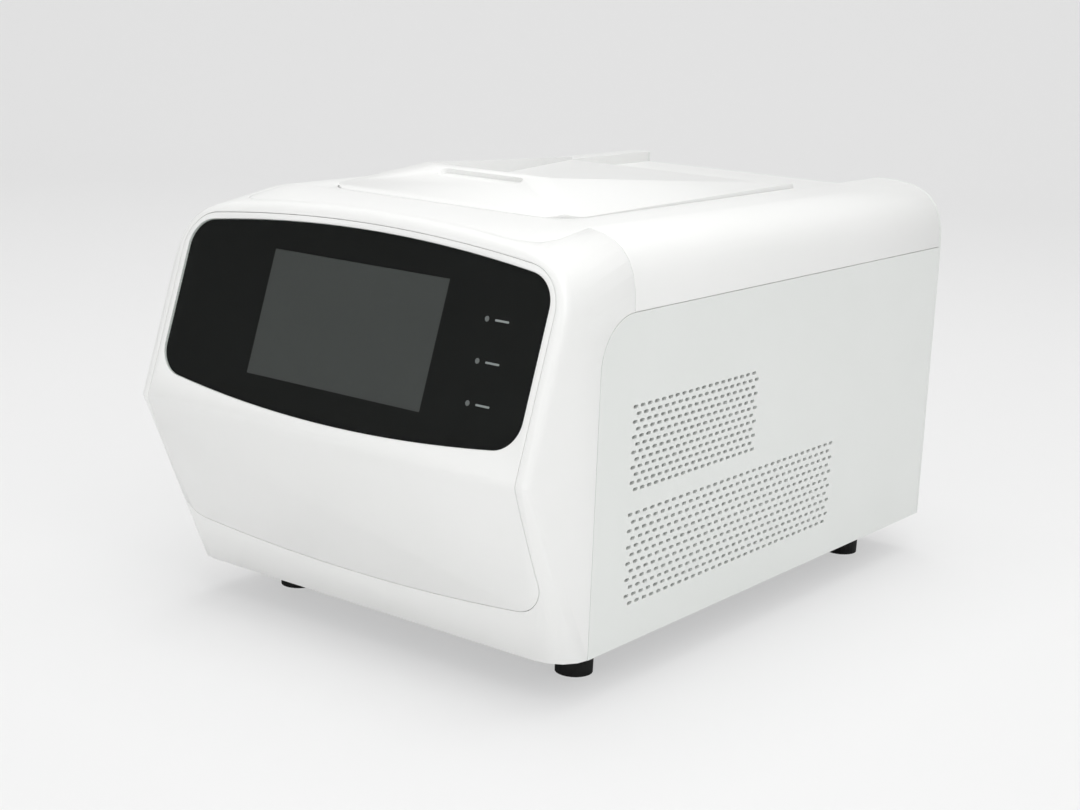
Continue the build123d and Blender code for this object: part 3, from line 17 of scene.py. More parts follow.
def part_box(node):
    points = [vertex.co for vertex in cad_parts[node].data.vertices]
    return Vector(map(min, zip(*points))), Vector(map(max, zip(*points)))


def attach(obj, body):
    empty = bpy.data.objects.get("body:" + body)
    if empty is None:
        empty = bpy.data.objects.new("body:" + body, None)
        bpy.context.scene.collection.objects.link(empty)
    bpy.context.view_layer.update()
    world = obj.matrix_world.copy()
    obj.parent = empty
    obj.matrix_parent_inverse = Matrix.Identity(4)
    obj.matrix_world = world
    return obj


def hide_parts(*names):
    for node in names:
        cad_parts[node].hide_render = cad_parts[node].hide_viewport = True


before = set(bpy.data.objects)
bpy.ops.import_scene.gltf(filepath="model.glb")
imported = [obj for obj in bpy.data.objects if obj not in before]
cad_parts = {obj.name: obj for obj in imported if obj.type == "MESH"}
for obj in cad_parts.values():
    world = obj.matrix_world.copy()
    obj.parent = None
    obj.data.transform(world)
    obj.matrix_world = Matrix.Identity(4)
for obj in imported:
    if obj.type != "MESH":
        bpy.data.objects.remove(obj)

log = logging.getLogger("pcr_machine")
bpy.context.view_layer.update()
MM = 0.001
BEVEL_PROFILE = 0.5
NO_MATERIAL_CHANGE = -1
SAME_PLACE = 1e-7  # metres
DRIFT_SCALE = 9.0  # patches of slightly different tone along a metre
DRIFT_DETAIL, DRIFT_ROUGHNESS = 3.0, 0.5
DRIFT_LOW, DRIFT_HIGH = 0.3, 0.7  # range of the patches that the roughness follows
GRAIN_DETAIL = 2.0
PEBBLE_SMOOTHNESS = 0.6
BRUSH_STRETCH = 0.04  # scale of a brushed texture along its lines, against 1 across them
TRACK_ROWS = 4  # rows of tracks in one unit of the board's pattern
TRACK_WIDTH = 0.08  # in units of the board's pattern


class Grain(Enum):
    """Ways in which a finish is rough at a small scale."""

    PLAIN = "plain"
    MOULDED = "moulded"
    PEBBLED = "pebbled"
    BRUSHED_X = "brushed_x"
    BRUSHED_Y = "brushed_y"
    BLASTED = "blasted"


def linear(code: str) -> tuple[float, float, float, float]:
    """Turn an sRGB hex colour into linear RGBA.

    Args:
        code: Colour such as "#E4E4E2".

    Returns:
        Linear red, green, blue and an alpha of 1.
    """
    channels = [int(code[i:i + 2], 16) / 255 for i in (1, 3, 5)]
    return tuple(c / 12.92 if c <= 0.04045 else ((c + 0.055) / 1.055) ** 2.4 for c in channels) + (1.0,)


def quarter_turn(steps: int) -> list[float]:
    """Divide a quarter turn into equal parts.

    Args:
        steps: Number of parts.

    Returns:
        The angles where the parts start and end, in radians.
    """
    return [math.radians(90 * i / steps) for i in range(steps + 1)]


def add_node(tree: bpy.types.NodeTree, kind: str, settings: dict | None = None,
             links: dict | None = None) -> bpy.types.Node:
    """Add one shader node with its settings and its incoming links.

    Args:
        tree: Node tree that takes the node.
        kind: Blender's name of the node type.
        settings: Values by attribute or by socket name or index.
        links: Output sockets by the name or index of the input that they feed.

    Returns:
        The new node.
    """
    node = tree.nodes.new(kind)
    for name, value in (settings or {}).items():
        if isinstance(name, str) and name.islower() and hasattr(node, name):
            setattr(node, name, value)
        else:
            node.inputs[name].default_value = value
    for name, output in (links or {}).items():
        tree.links.new(output, node.inputs[name])
    return node


def new_tree(name: str) -> tuple[bpy.types.Material, bpy.types.NodeTree, bpy.types.Node]:
    """Start a material that holds only its output node.

    Args:
        name: Name of the material.

    Returns:
        The material, its node tree and its output node.
    """
    material = bpy.data.materials.new(name)
    material.use_nodes = True
    tree = material.node_tree
    tree.nodes.clear()
    return material, tree, add_node(tree, "ShaderNodeOutputMaterial")


@dataclass(frozen=True)
class Finish:
    """A surface finish: its colour, how it takes light and its small-scale texture.

    Attributes:
        name: What the real material is and how its surface was made.
        colour: sRGB hex colour.
        shade: sRGB hex colour of the faint darker areas.
        roughness: Mean roughness.
        spread: How far the roughness wanders either way.
        metallic: 1 for bare metal, 0 for anything else.
        ior: Index of refraction. Metals keep Blender's own value.
        grain: Kind of small-scale texture.
        pitch_mm: Size of the texture's features in millimetres.
        height_mm: Height of the texture in millimetres.
    """

    name: str
    colour: str
    shade: str
    roughness: float
    spread: float = 0.04
    metallic: float = 0.0
    ior: float = 1.5
    grain: Grain = Grain.PLAIN
    pitch_mm: float = 1.0
    height_mm: float = 0.0

    def stretch(self) -> tuple[float, float, float]:
        """Give the scale of the texture along each axis.

        Returns:
            Scales along X, Y and Z.
        """
        return {
            Grain.BRUSHED_X: (BRUSH_STRETCH, 1.0, 1.0),
            Grain.BRUSHED_Y: (1.0, BRUSH_STRETCH, 1.0),
        }.get(self.grain, (1.0, 1.0, 1.0))

    def build(self) -> bpy.types.Material:
        """Make the material.

        Returns:
            The finished material.
        """
        material, tree, output = new_tree(self.name)
        place = add_node(tree, "ShaderNodeTexCoord")
        drift = add_node(tree, "ShaderNodeTexNoise",
                         {"Scale": DRIFT_SCALE, "Detail": DRIFT_DETAIL, "Roughness": DRIFT_ROUGHNESS},
                         {"Vector": place.outputs["Object"]})
        tint = add_node(tree, "ShaderNodeMix",
                        {"data_type": "RGBA", 6: linear(self.colour), 7: linear(self.shade)},
                        {0: drift.outputs["Fac"]})
        gloss = add_node(tree, "ShaderNodeMapRange", {
            "From Min": DRIFT_LOW, "From Max": DRIFT_HIGH,
            "To Min": self.roughness - self.spread, "To Max": self.roughness + self.spread,
        }, {"Value": drift.outputs["Fac"]})
        shader = add_node(tree, "ShaderNodeBsdfPrincipled", {"Metallic": self.metallic},
                          {"Base Color": tint.outputs[2], "Roughness": gloss.outputs[0]})
        if not self.metallic:
            shader.inputs["IOR"].default_value = self.ior
        if self.grain is not Grain.PLAIN:
            self.add_grain(tree, place, shader)
        tree.links.new(shader.outputs[0], output.inputs[0])
        return material

    def add_grain(self, tree: bpy.types.NodeTree, place: bpy.types.Node, shader: bpy.types.Node) -> None:
        """Add the small-scale texture as a bump.

        Args:
            tree: Node tree of the material.
            place: Texture coordinate node.
            shader: Shader node whose normal takes the bump.
        """
        stretched = add_node(tree, "ShaderNodeMapping", {"Scale": self.stretch()},
                             {"Vector": place.outputs["Object"]})
        scale = 1 / (self.pitch_mm * MM)
        if self.grain is Grain.PEBBLED:
            pattern = add_node(tree, "ShaderNodeTexVoronoi",
                               {"feature": "SMOOTH_F1", "Scale": scale, "Smoothness": PEBBLE_SMOOTHNESS},
                               {"Vector": stretched.outputs[0]}).outputs["Distance"]
        else:
            pattern = add_node(tree, "ShaderNodeTexNoise", {"Scale": scale, "Detail": GRAIN_DETAIL},
                               {"Vector": stretched.outputs[0]}).outputs["Fac"]
        bump = add_node(tree, "ShaderNodeBump", {"Strength": 1.0, "Distance": self.height_mm * MM},
                        {"Height": pattern})
        tree.links.new(bump.outputs[0], shader.inputs["Normal"])


# Moulded ABS with a fine satin texture: soft broad highlights, nearly pure white
CASING = Finish("satin_moulded_abs", "#F0F0EF", "#EBECEA", 0.34, 0.03,
                grain=Grain.MOULDED, pitch_mm=0.9, height_mm=0.012)
# Powder-coated steel sheet: a little greyer and greener than the mouldings, with orange peel
PANEL = Finish("powder_coated_steel_sheet", "#E6E8E6", "#E1E4E1", 0.45, 0.04,
               grain=Grain.PEBBLED, pitch_mm=1.6, height_mm=0.02)
# Moulded black ABS: dark with a dull shine
BLACK_PLASTIC = Finish("moulded_black_abs", "#161616", "#1C1C1C", 0.42, 0.05,
                       grain=Grain.MOULDED, pitch_mm=0.7, height_mm=0.02)
# Moulded nitrile rubber: darker and duller, slightly dusty
RUBBER = Finish("moulded_nitrile_rubber", "#121212", "#1D1C1B", 0.68, 0.08, ior=1.52,
                grain=Grain.PEBBLED, pitch_mm=1.0, height_mm=0.03)
# Zinc-plated steel sheet: grey, brushed by the rolling mill
SHEET_STEEL = Finish("rolled_zinc_plated_steel", "#A9ABAD", "#9B9EA1", 0.38, 0.08, 1.0,
                     grain=Grain.BRUSHED_Y, pitch_mm=0.5, height_mm=0.006)
# Ground and polished tool steel: bright, with lines along its length
GROUND_STEEL = Finish("ground_tool_steel", "#C4C5C7", "#B6B8BA", 0.2, 0.04, 1.0,
                      grain=Grain.BRUSHED_X, pitch_mm=0.3, height_mm=0.004)
# Nickel-plated screws and shells: bright and even
NICKEL = Finish("nickel_plated_steel", "#BDBAB4", "#AFACA6", 0.25, 0.05, 1.0)
# Machined and bead-blasted aluminium: pale and silky
ALUMINIUM = Finish("bead_blasted_aluminium", "#C9CBCD", "#BCBFC1", 0.36, 0.05, 1.0,
                   grain=Grain.BLASTED, pitch_mm=0.5, height_mm=0.01)
# Drawn brass: warm and bright
BRASS = Finish("drawn_brass", "#C9A85A", "#B8964B", 0.25, 0.05, 1.0)
# Sintered alumina ceramic: white and dull
CERAMIC = Finish("sintered_alumina", "#EDEBE4", "#E2DFD6", 0.6, 0.05, ior=1.76)
# Moulded epoxy chip packages: near black, matt
EPOXY = Finish("moulded_epoxy", "#191A1B", "#222324", 0.55, 0.05,
               grain=Grain.MOULDED, pitch_mm=0.5, height_mm=0.01)
# Painted motor body: black with a soft shine
MOTOR = Finish("black_enamelled_steel", "#1A1A1B", "#212122", 0.35, 0.06,
               grain=Grain.MOULDED, pitch_mm=1.0, height_mm=0.01)
# Screen print on the back of the glass: deep black, even
PRINT = Finish("black_screen_print", "#0B0A0A", "#0D0C0C", 0.6, 0.02)
# Unlit liquid crystal panel: neutral dark grey behind the glass
SCREEN = Finish("unlit_lcd_panel", "#545454", "#505050", 0.5, 0.03,
                grain=Grain.MOULDED, pitch_mm=0.3, height_mm=0.003)
# Frosted acrylic light pipes: milky, and a dull grey while unlit
LIGHT_PIPE = Finish("frosted_acrylic", "#8E8F90", "#858687", 0.3, 0.03, ior=1.49)
# White screen print of the small marks beside the status lights: pale, even and dull
MARK_INK = Finish("white_screen_print", "#B9BABB", "#AEB0B1", 0.5, 0.02)


@dataclass(frozen=True)
class ClearGlass:
    """Toughened cover glass: see-through, with sharp reflections that grow towards a glancing view.

    Only faces that are seen from outside shine, so that the back of the glass adds no second image.

    Attributes:
        name: What the real material is.
        tint: sRGB hex colour that light takes on in passing.
        roughness: Roughness of the reflections.
        ior: Index of refraction, which sets how strong the reflections are.
    """

    name: str = "toughened_cover_glass"
    tint: str = "#F4F6F5"
    roughness: float = 0.03
    ior: float = 1.5

    def build(self) -> bpy.types.Material:
        """Make the material.

        Returns:
            The finished material.
        """
        material, tree, output = new_tree(self.name)
        clear = add_node(tree, "ShaderNodeBsdfTransparent", {"Color": linear(self.tint)})
        shine = add_node(tree, "ShaderNodeBsdfGlossy", {"Roughness": self.roughness, "Color": (1, 1, 1, 1)})
        edge = add_node(tree, "ShaderNodeFresnel", {"IOR": self.ior})
        side = add_node(tree, "ShaderNodeNewGeometry")
        outward = add_node(tree, "ShaderNodeMath", {"operation": "SUBTRACT", 0: 1.0},
                           {1: side.outputs["Backfacing"]})
        share = add_node(tree, "ShaderNodeMath", {"operation": "MULTIPLY"},
                         {0: edge.outputs[0], 1: outward.outputs[0]})
        mixed = add_node(tree, "ShaderNodeMixShader", None,
                         {0: share.outputs[0], 1: clear.outputs[0], 2: shine.outputs[0]})
        tree.links.new(mixed.outputs[0], output.inputs[0])
        return material


@dataclass(frozen=True)
class CircuitBoard:
    """Glass-epoxy board under green solder mask, with copper tracks showing as lighter lines.

    Attributes:
        name: What the real material is.
        mask: sRGB hex colour of the solder mask.
        track: sRGB hex colour of the mask over copper.
        track_mm: Distance from one track to the next.
        roughness: Roughness of the mask.
        ior: Index of refraction of the mask.
    """

    name: str = "solder_masked_glass_epoxy"
    mask: str = "#0F4A2A"
    track: str = "#1C6B3F"
    track_mm: float = 2.2
    roughness: float = 0.32
    ior: float = 1.55

    def build(self) -> bpy.types.Material:
        """Make the material.

        Returns:
            The finished material.
        """
        material, tree, output = new_tree(self.name)
        place = add_node(tree, "ShaderNodeTexCoord")
        bricks = add_node(tree, "ShaderNodeTexBrick", {
            "Scale": 1 / (self.track_mm * MM * TRACK_ROWS), "Mortar Size": TRACK_WIDTH,
            "Color1": linear(self.mask), "Color2": linear(self.mask), "Mortar": linear(self.track),
        }, {"Vector": place.outputs["Object"]})
        shader = add_node(tree, "ShaderNodeBsdfPrincipled", {"Roughness": self.roughness, "IOR": self.ior},
                          {"Base Color": bricks.outputs["Color"]})
        tree.links.new(shader.outputs[0], output.inputs[0])
        return material


def mesh_piece(name: str, bm: bmesh.types.BMesh, material: bpy.types.Material, body: str,
               smooth_angle: float = 30.0) -> bpy.types.Object:
    """Turn a bmesh into a piece that rides on a CAD body.

    Args:
        name: Name of the piece.
        bm: Finished mesh, which is freed.
        material: Finish of the piece.
        body: CAD body that the piece moves with.
        smooth_angle: Edges flatter than this many degrees are shaded smooth.

    Returns:
        The new object.
    """
    limit = math.radians(smooth_angle)
    for face in bm.faces:
        face.smooth = True
    for edge in bm.edges:
        edge.smooth = len(edge.link_faces) == 2 and edge.calc_face_angle(math.pi) < limit
    mesh = bpy.data.meshes.new(name)
    bm.to_mesh(mesh)
    bm.free()
    mesh.materials.append(material)
    piece = bpy.data.objects.new(name, mesh)
    bpy.context.scene.collection.objects.link(piece)
    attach(piece, body)
    log.info("piece %s: %d faces on %s", name, len(mesh.polygons), body)
    return piece


def merged_copy(node: str, join_mm: float = 0.01, flat_degrees: float = 0.4) -> bmesh.types.BMesh:
    """Copy a CAD node's mesh, with its loose triangles joined into whole faces.

    Args:
        node: Name of the CAD node.
        join_mm: Vertices nearer than this become one.
        flat_degrees: Neighbouring faces that turn by less than this become one.

    Returns:
        The joined mesh.
    """
    bm = bmesh.new()
    bm.from_mesh(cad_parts[node].data)
    bmesh.ops.remove_doubles(bm, verts=bm.verts, dist=join_mm * MM)
    bmesh.ops.dissolve_degenerate(bm, edges=bm.edges, dist=join_mm * MM)
    bmesh.ops.dissolve_limit(bm, angle_limit=math.radians(flat_degrees), verts=bm.verts, edges=bm.edges)
    return bm


def round_edges(bm: bmesh.types.BMesh, radius_mm: float, segments: int, from_degrees: float = 35.0) -> None:
    """Round the sharp edges of a mesh.

    Args:
        bm: Mesh to work on.
        radius_mm: Width of the rounding.
        segments: Faces across the rounding.
        from_degrees: Only edges that turn by more than this are rounded.
    """
    limit = math.radians(from_degrees)
    sharp = [e for e in bm.edges if len(e.link_faces) == 2 and e.calc_face_angle(0.0) > limit]
    bmesh.ops.bevel(bm, geom=sharp, offset=radius_mm * MM, offset_type="OFFSET", affect="EDGES",
                    segments=segments, profile=BEVEL_PROFILE, material=NO_MATERIAL_CHANGE,
                    clamp_overlap=True)


@dataclass
class Mouldings:
    """White mouldings of the casing and the lid, and the rear sheet: CAD shapes with softened edges.

    Attributes:
        radii_mm: Rounding of the edges of each node.
        bodies: CAD body of each node that isn't on the chassis.
        edge_steps: Faces across each rounding.
    """

    radii_mm: dict[str, float] = field(default_factory=lambda: {
        "front_shell": 0.35, "face_plate": 0.35, "top_cover": 0.35, "lid_cover": 0.8, "rear_panel": 0.3,
    })
    bodies: dict[str, str] = field(default_factory=lambda: {"lid_cover": "lid"})
    edge_steps: int = 2

    def build(self, finishes: dict[str, bpy.types.Material]) -> None:
        """Build every moulding.

        Args:
            finishes: Materials by name.
        """
        for node, radius in self.radii_mm.items():
            bm = merged_copy(node)
            round_edges(bm, radius, self.edge_steps)
            finish = finishes["panel"] if node == "rear_panel" else finishes["casing"]
            piece = mesh_piece(f"{node}_skin", bm, finish, self.bodies.get(node, "chassis"))
            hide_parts(node)


@dataclass
class VentField:
    """One field of staggered slots in a side panel, in millimetres.

    Attributes:
        top: Height of the middle of the first row.
        start: Y of the middle of the first slot of the first row.
        pitch: Distance between slots of a row.
        row_pitch: Distance between rows.
        rows: Number of rows.
        columns: Slots in the first row.
        short: How many slots fewer the shifted rows have.
    """

    top: float
    start: float
    pitch: float
    row_pitch: float
    rows: int
    columns: int
    short: int

    def centres(self) -> list[tuple[float, float]]:
        """List the middles of the slots.

        Returns:
            Y and Z of every slot, row by row.
        """
        spots = []
        for row in range(self.rows):
            shifted = row % 2
            for column in range(self.columns - shifted * self.short):
                y = self.start + (column + shifted / 2) * self.pitch
                spots.append((y, self.top - row * self.row_pitch))
        return spots


@dataclass
class SidePanels:
    """Perforated side panels. They stand for the CAD panels, whose slots are fewer and larger.

    Attributes:
        upper: Upper field of slots.
        lower: Lower field of slots.
        slot_length_mm: Length of a slot.
        slot_height_mm: Height of a slot.
        slot_sides: Vertices round a slot.
        corner_radius_mm: Radius of the panel's upper front corner.
        corner_steps: Straight stretches along that corner.
    """

    upper: VentField = field(default_factory=lambda: VentField(
        top=192.0, start=-156.8, pitch=8.0, row_pitch=5.06, rows=12, columns=19, short=0))
    lower: VentField = field(default_factory=lambda: VentField(
        top=120.0, start=-157.1, pitch=8.5, row_pitch=5.56, rows=12, columns=32, short=1))
    slot_length_mm: float = 5.4
    slot_height_mm: float = 2.5
    slot_sides: int = 12
    corner_radius_mm: float = 34.0
    corner_steps: int = 16

    def outline(self, bm: bmesh.types.BMesh, low: Vector, high: Vector) -> list[bmesh.types.BMEdge]:
        """Draw the panel's outline at its outer face.

        Args:
            bm: Mesh that takes the edges.
            low: Lowest corner of the CAD panel.
            high: Highest corner of the CAD panel.

        Returns:
            The edges of the outline.
        """
        radius = self.corner_radius_mm * MM
        corner = [
            (low.y + radius - radius * math.cos(a), high.z - radius + radius * math.sin(a))
            for a in quarter_turn(self.corner_steps)
        ]
        spots = [(high.y, low.z), (low.y, low.z)] + corner + [(high.y, high.z)]
        verts = [bm.verts.new((high.x, y, z)) for y, z in spots]
        return [bm.edges.new((a, b)) for a, b in zip(verts, verts[1:] + verts[:1])]

    def slot(self, bm: bmesh.types.BMesh, x: float, y: float, z: float) -> list[bmesh.types.BMEdge]:
        """Draw one round-ended slot at the outer face.

        Args:
            bm: Mesh that takes the edges.
            x: Outer face of the panel.
            y: Middle of the slot.
            z: Height of the slot.

        Returns:
            The edges of the slot.
        """
        radius = self.slot_height_mm / 2 * MM
        reach = self.slot_length_mm / 2 * MM - radius
        turned = Matrix.Translation((x, y, z)) @ Matrix.Rotation(math.radians(90), 4, "Y")
        made = bmesh.ops.create_circle(bm, segments=self.slot_sides, radius=radius, matrix=turned)
        for vert in made["verts"]:
            if abs(vert.co.y - y) > SAME_PLACE:
                vert.co.y += math.copysign(reach, vert.co.y - y)
        return list({e for v in made["verts"] for e in v.link_edges})

    def build(self, finishes: dict[str, bpy.types.Material]) -> None:
        """Build both panels. The left one is the right one mirrored.

        Args:
            finishes: Materials by name.
        """
        for node, mirrored in (("side_panel_right", False), ("side_panel_left", True)):
            low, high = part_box("side_panel_right")
            bm = bmesh.new()
            edges = self.outline(bm, low, high)
            for vents in (self.upper, self.lower):
                for y, z in vents.centres():
                    edges += self.slot(bm, high.x, y * MM, z * MM)
            bmesh.ops.triangle_fill(bm, use_beauty=True, use_dissolve=False, edges=edges, normal=(1, 0, 0))
            back = bmesh.ops.extrude_face_region(bm, geom=list(bm.faces), use_keep_orig=True)
            moved = [v for v in back["geom"] if isinstance(v, bmesh.types.BMVert)]
            bmesh.ops.translate(bm, verts=moved, vec=(low.x - high.x, 0, 0))
            if mirrored:
                bmesh.ops.scale(bm, verts=bm.verts, vec=(-1, 1, 1))
            bmesh.ops.recalc_face_normals(bm, faces=bm.faces)
            piece = mesh_piece(f"{node}_skin", bm, finishes["panel"], "chassis")
            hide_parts(node)


@dataclass
class StatusMarks:
    """Small plain bars printed behind the glass, one beside each status light.

    Attributes:
        origin_mm: Point of the nose line that the leaning face starts from.
        lean_degrees: How far the face leans back.
        left_mm: X of the bars' left end.
        heights_mm: Middle of each bar, up the leaning face.
        length_mm: Length of a bar.
        width_mm: Width of a bar.
        depth_mm: How far the ink lies behind the front of the glass.
        ink_mm: Thickness of the ink.
        rounding: Radius of the bars' corners, as a share of their width.
        corner_steps: Faces round each corner.
    """

    origin_mm: tuple[float, float, float] = (0.0, -268.6, 158.6)
    lean_degrees: float = 18.1
    left_mm: float = 119.5
    heights_mm: tuple[float, ...] = (97.2, 70.5, 43.8)
    length_mm: float = 11.0
    width_mm: float = 1.3
    depth_mm: float = 1.825
    ink_mm: float = 0.02
    rounding: float = 0.45
    corner_steps: int = 4

    def build(self, finishes: dict[str, bpy.types.Material]) -> None:
        """Print the bars.

        Args:
            finishes: Materials by name.
        """
        lean = math.radians(self.lean_degrees)
        face = Matrix.Translation(Vector(self.origin_mm) * MM) @ Matrix.Rotation(math.pi / 2 - lean, 4, "X")
        bm = bmesh.new()
        size = Matrix.Diagonal((self.length_mm * MM, self.width_mm * MM, self.ink_mm * MM, 1.0))
        middle = self.left_mm + self.length_mm / 2
        for height in self.heights_mm:
            place = Matrix.Translation(Vector((middle, height, -self.depth_mm)) * MM)
            bmesh.ops.create_cube(bm, size=1.0, matrix=face @ place @ size)
        corners = [e for e in bm.edges if e.calc_length() < 2 * self.ink_mm * MM]
        bmesh.ops.bevel(bm, geom=corners, offset=self.rounding * self.width_mm * MM, offset_type="OFFSET",
                        affect="EDGES", segments=self.corner_steps, profile=BEVEL_PROFILE,
                        material=NO_MATERIAL_CHANGE, clamp_overlap=True)
        piece = mesh_piece("status_marks", bm, finishes["mark_ink"], "chassis")


@dataclass
class CadParts:
    """CAD nodes that keep their own mesh and get a finish.

    Attributes:
        nodes: Nodes of each finish.
    """

    nodes: dict[str, tuple[str, ...]] = field(default_factory=lambda: {
        "glass": ("cover_glass", "lenses"),
        "print": ("glass_print",),
        "screen": ("display_screen",),
        "light_pipe": ("status_leds",),
        "black_plastic": (
            "display_frame", "power_inlet", "switch_housing", "power_rocker", "network_port",
            "fan_guards", "rear_fan_frame_right", "rear_fan_frame_left", "sink_fan_frame",
            "rear_impeller_right", "rear_impeller_left", "sink_impeller", "block_collar", "scan_head",
        ),
        "board": ("led_board", "control_board"),
        "epoxy": ("board_chips",),
        "rubber": ("rubber_feet",),
        "nickel": ("foot_screws", "panel_screws", "fan_screws", "usb_ports"),
        "sheet_steel": (
            "base_pan", "frame_plate_right", "frame_plate_left", "carriage", "optics_tray",
            "motor_bracket", "power_supply",
        ),
        "casing": ("deck_plate",),
        "ground_steel": ("slide_rails", "scan_rods", "lead_screw", "guide_blocks", "platen_pins"),
        "aluminium": ("sample_block", "heat_sink", "heated_platen", "sink_posts"),
        "brass": ("board_standoffs", "inlet_pins"),
        "ceramic": ("peltier_modules",),
        "motor": ("scan_motor",),
    })

    def build(self, finishes: dict[str, bpy.types.Material]) -> None:
        """Dress every node that keeps its mesh.

        Args:
            finishes: Materials by name.
        """
        for finish, nodes in self.nodes.items():
            for node in nodes:
                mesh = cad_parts[node].data
                mesh.materials.clear()
                mesh.materials.append(finishes[finish])
            log.info("%s: %d nodes", finish, len(nodes))


@dataclass(frozen=True)
class Lamp:
    """One soft lamp that points at the machine.

    Attributes:
        name: Name of the lamp.
        place: Where it hangs, in metres.
        size: Width and height of its face, in metres.
        power: Power in watts.
    """

    name: str
    place: tuple[float, float, float]
    size: tuple[float, float]
    power: float

    def build(self, aim: Vector) -> None:
        """Hang the lamp.

        Args:
            aim: Point that the lamp faces.
        """
        data = bpy.data.lights.new(self.name, "AREA")
        data.shape = "RECTANGLE"
        data.size, data.size_y = self.size
        data.energy = self.power
        lamp = bpy.data.objects.new(self.name, data)
        lamp.location = self.place
        lamp.rotation_mode = "QUATERNION"
        lamp.rotation_quaternion = (aim - Vector(self.place)).to_track_quat("-Z", "Y")
        bpy.context.scene.collection.objects.link(lamp)


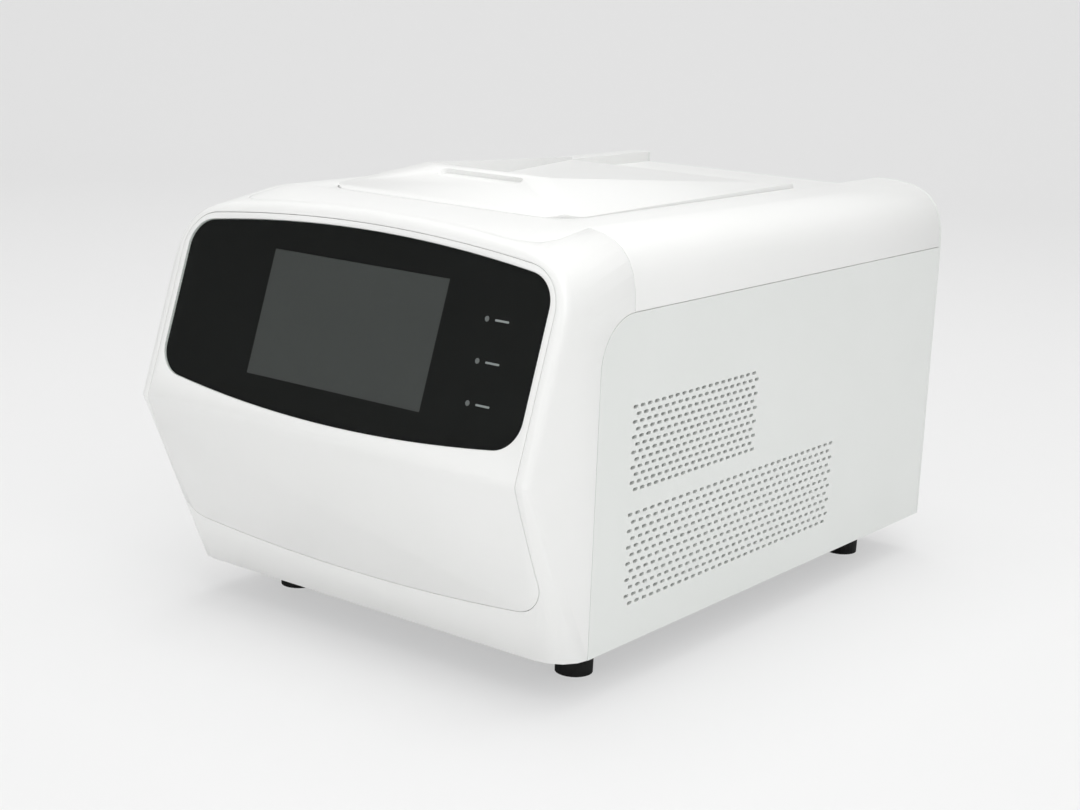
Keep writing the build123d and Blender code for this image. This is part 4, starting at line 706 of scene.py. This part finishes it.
@dataclass
class Studio:
    """Sweep of pale paper, soft lamps and the camera.

    Attributes:
        azimuth: Direction that the camera stands in, in degrees.
        elevation: Height of the camera above the horizon, in degrees.
        roll: Turn of the camera about its own axis, in degrees.
        eye_mm: Place of the camera.
        lens_mm: Focal length.
        sensor_mm: Width of the sensor that the focal length goes with.
        clip_m: Nearest and farthest distance that the camera sees.
        paper_colour: sRGB hex colour of the paper.
        paper_roughness: Roughness of the paper.
        even_colour: sRGB hex colour that evens out the lamps' pools of light on the paper.
        evenness: Share of that colour in what the camera sees of the paper.
        reach_m: How far the paper goes in front, to either side and up.
        sweep_start_m: Distance behind the machine where the paper starts to curve up.
        sweep_radius_m: Radius of that curve.
        sweep_steps: Straight stretches along it.
        surround_colour: sRGB hex colour of the light from all round.
        surround_strength: Strength of that light.
        mirrored_strength: Strength of the same light in reflections.
        horizon_colour: sRGB hex colour beyond the paper.
        aim: Point that the lamps face, in metres.
        lamps: Soft lamps.
    """

    azimuth: float = 37.17
    elevation: float = 13.47
    roll: float = 2.29
    eye_mm: tuple[float, float, float] = (831.8, -1127.1, 471.05)
    lens_mm: float = 62.95
    sensor_mm: float = 36.0
    clip_m: tuple[float, float] = (0.05, 50.0)
    paper_colour: str = "#EFEFEF"
    paper_roughness: float = 0.9
    even_colour: str = "#F0F0F0"
    evenness: float = 0.55
    reach_m: float = 9.0
    sweep_start_m: float = 2.4
    sweep_radius_m: float = 1.6
    sweep_steps: int = 24
    surround_colour: str = "#FFFFFF"
    surround_strength: float = 0.6
    mirrored_strength: float = 0.05
    horizon_colour: str = "#EDEDED"
    aim: tuple[float, float, float] = (0.0, 0.0, 0.15)
    lamps: tuple[Lamp, ...] = (
        Lamp("key", place=(1.6, -1.2, 1.9), size=(1.6, 1.6), power=20.0),
        Lamp("fill", place=(0.1, -2.4, 1.0), size=(1.4, 1.0), power=5.5),
        Lamp("top", place=(0.0, 0.2, 2.4), size=(2.0, 2.0), power=24.0),
    )

    def camera(self) -> None:
        """Set up the camera."""
        data = bpy.data.cameras.new("camera")
        data.lens = self.lens_mm
        data.sensor_width = self.sensor_mm
        data.clip_start, data.clip_end = self.clip_m
        camera = bpy.data.objects.new("camera", data)
        bpy.context.scene.collection.objects.link(camera)
        turn, rise = math.radians(self.azimuth), math.radians(self.elevation)
        level = math.cos(rise)
        back = Vector((math.sin(turn) * level, -math.cos(turn) * level, math.sin(rise)))
        rolled = Matrix.Rotation(math.radians(self.roll), 3, "Z").to_quaternion()
        camera.rotation_mode = "QUATERNION"
        camera.rotation_quaternion = (-back).to_track_quat("-Z", "Y") @ rolled
        camera.location = Vector(self.eye_mm) * MM
        bpy.context.scene.camera = camera

    def paper(self) -> bpy.types.Material:
        """Make the matt paper, which looks almost evenly lit to the camera.

        Returns:
            The finished material.
        """
        material, tree, output = new_tree("pale_paper_backdrop")
        shader = add_node(tree, "ShaderNodeBsdfPrincipled",
                          {"Base Color": linear(self.paper_colour), "Roughness": self.paper_roughness})
        even = add_node(tree, "ShaderNodeEmission", {"Color": linear(self.even_colour)})
        path = add_node(tree, "ShaderNodeLightPath")
        share = add_node(tree, "ShaderNodeMath", {"operation": "MULTIPLY", 1: self.evenness},
                         {0: path.outputs["Is Camera Ray"]})
        mixed = add_node(tree, "ShaderNodeMixShader", None,
                         {0: share.outputs[0], 1: shader.outputs[0], 2: even.outputs[0]})
        tree.links.new(mixed.outputs[0], output.inputs[0])
        return material

    def profile(self) -> list[tuple[float, float]]:
        """Trace the paper from the front, under the machine and up behind it.

        Returns:
            Distance away from the camera and height of each point.
        """
        far, radius = self.sweep_start_m, self.sweep_radius_m
        curve = [(far + radius * math.sin(a), radius * (1 - math.cos(a)))
                 for a in quarter_turn(self.sweep_steps)]
        return [(-self.reach_m, 0.0)] + curve + [(far + radius, self.reach_m)]

    def floor(self) -> None:
        """Lay the paper, which curves up behind the machine and hides the horizon."""
        bm = bmesh.new()
        turn = math.radians(self.azimuth)
        away = Vector((-math.sin(turn), math.cos(turn), 0.0))
        across = Vector((away.y, -away.x, 0.0)) * self.reach_m
        rows = []
        for out, up in self.profile():
            middle = away * out + Vector((0.0, 0.0, up))
            rows.append([bm.verts.new(middle - across), bm.verts.new(middle + across)])
        for near, far in zip(rows, rows[1:]):
            bm.faces.new((near[0], near[1], far[1], far[0])).smooth = True
        mesh = bpy.data.meshes.new("floor")
        bm.to_mesh(mesh)
        bm.free()
        mesh.materials.append(self.paper())
        floor = bpy.data.objects.new("floor", mesh)
        bpy.context.scene.collection.objects.link(floor)

    def world(self) -> None:
        """Fill the surroundings with even pale light, which reflections show only faintly."""
        world = bpy.data.worlds.new("studio")
        bpy.context.scene.world = world
        world.use_nodes = True
        tree = world.node_tree
        tree.nodes.clear()
        output = add_node(tree, "ShaderNodeOutputWorld")
        path = add_node(tree, "ShaderNodeLightPath")
        strength = add_node(tree, "ShaderNodeMapRange", {
            "To Min": self.surround_strength, "To Max": self.mirrored_strength,
        }, {"Value": path.outputs["Is Glossy Ray"]})
        light = add_node(tree, "ShaderNodeBackground", {"Color": linear(self.surround_colour)},
                         {"Strength": strength.outputs[0]})
        seen = add_node(tree, "ShaderNodeBackground",
                        {"Color": linear(self.horizon_colour), "Strength": 1.0})
        mixed = add_node(tree, "ShaderNodeMixShader", None,
                         {0: path.outputs["Is Camera Ray"], 1: light.outputs[0], 2: seen.outputs[0]})
        tree.links.new(mixed.outputs[0], output.inputs[0])

    def build(self) -> None:
        """Set up the whole studio."""
        self.camera()
        self.floor()
        self.world()
        for lamp in self.lamps:
            lamp.build(Vector(self.aim))
        bpy.context.scene.view_settings.view_transform = "Standard"


def main() -> None:
    """Build the machine's looks and the studio round it."""
    logging.basicConfig(level=logging.INFO, format="%(message)s")
    finishes = {
        "casing": CASING, "panel": PANEL, "black_plastic": BLACK_PLASTIC, "rubber": RUBBER,
        "sheet_steel": SHEET_STEEL, "ground_steel": GROUND_STEEL, "nickel": NICKEL, "aluminium": ALUMINIUM,
        "brass": BRASS, "ceramic": CERAMIC, "epoxy": EPOXY, "motor": MOTOR, "print": PRINT, "screen": SCREEN,
        "light_pipe": LIGHT_PIPE, "mark_ink": MARK_INK, "glass": ClearGlass(), "board": CircuitBoard(),
    }
    materials = {name: finish.build() for name, finish in finishes.items()}
    CadParts().build(materials)
    Mouldings().build(materials)
    SidePanels().build(materials)
    StatusMarks().build(materials)
    Studio().build()


if __name__ == "__main__":
    main()
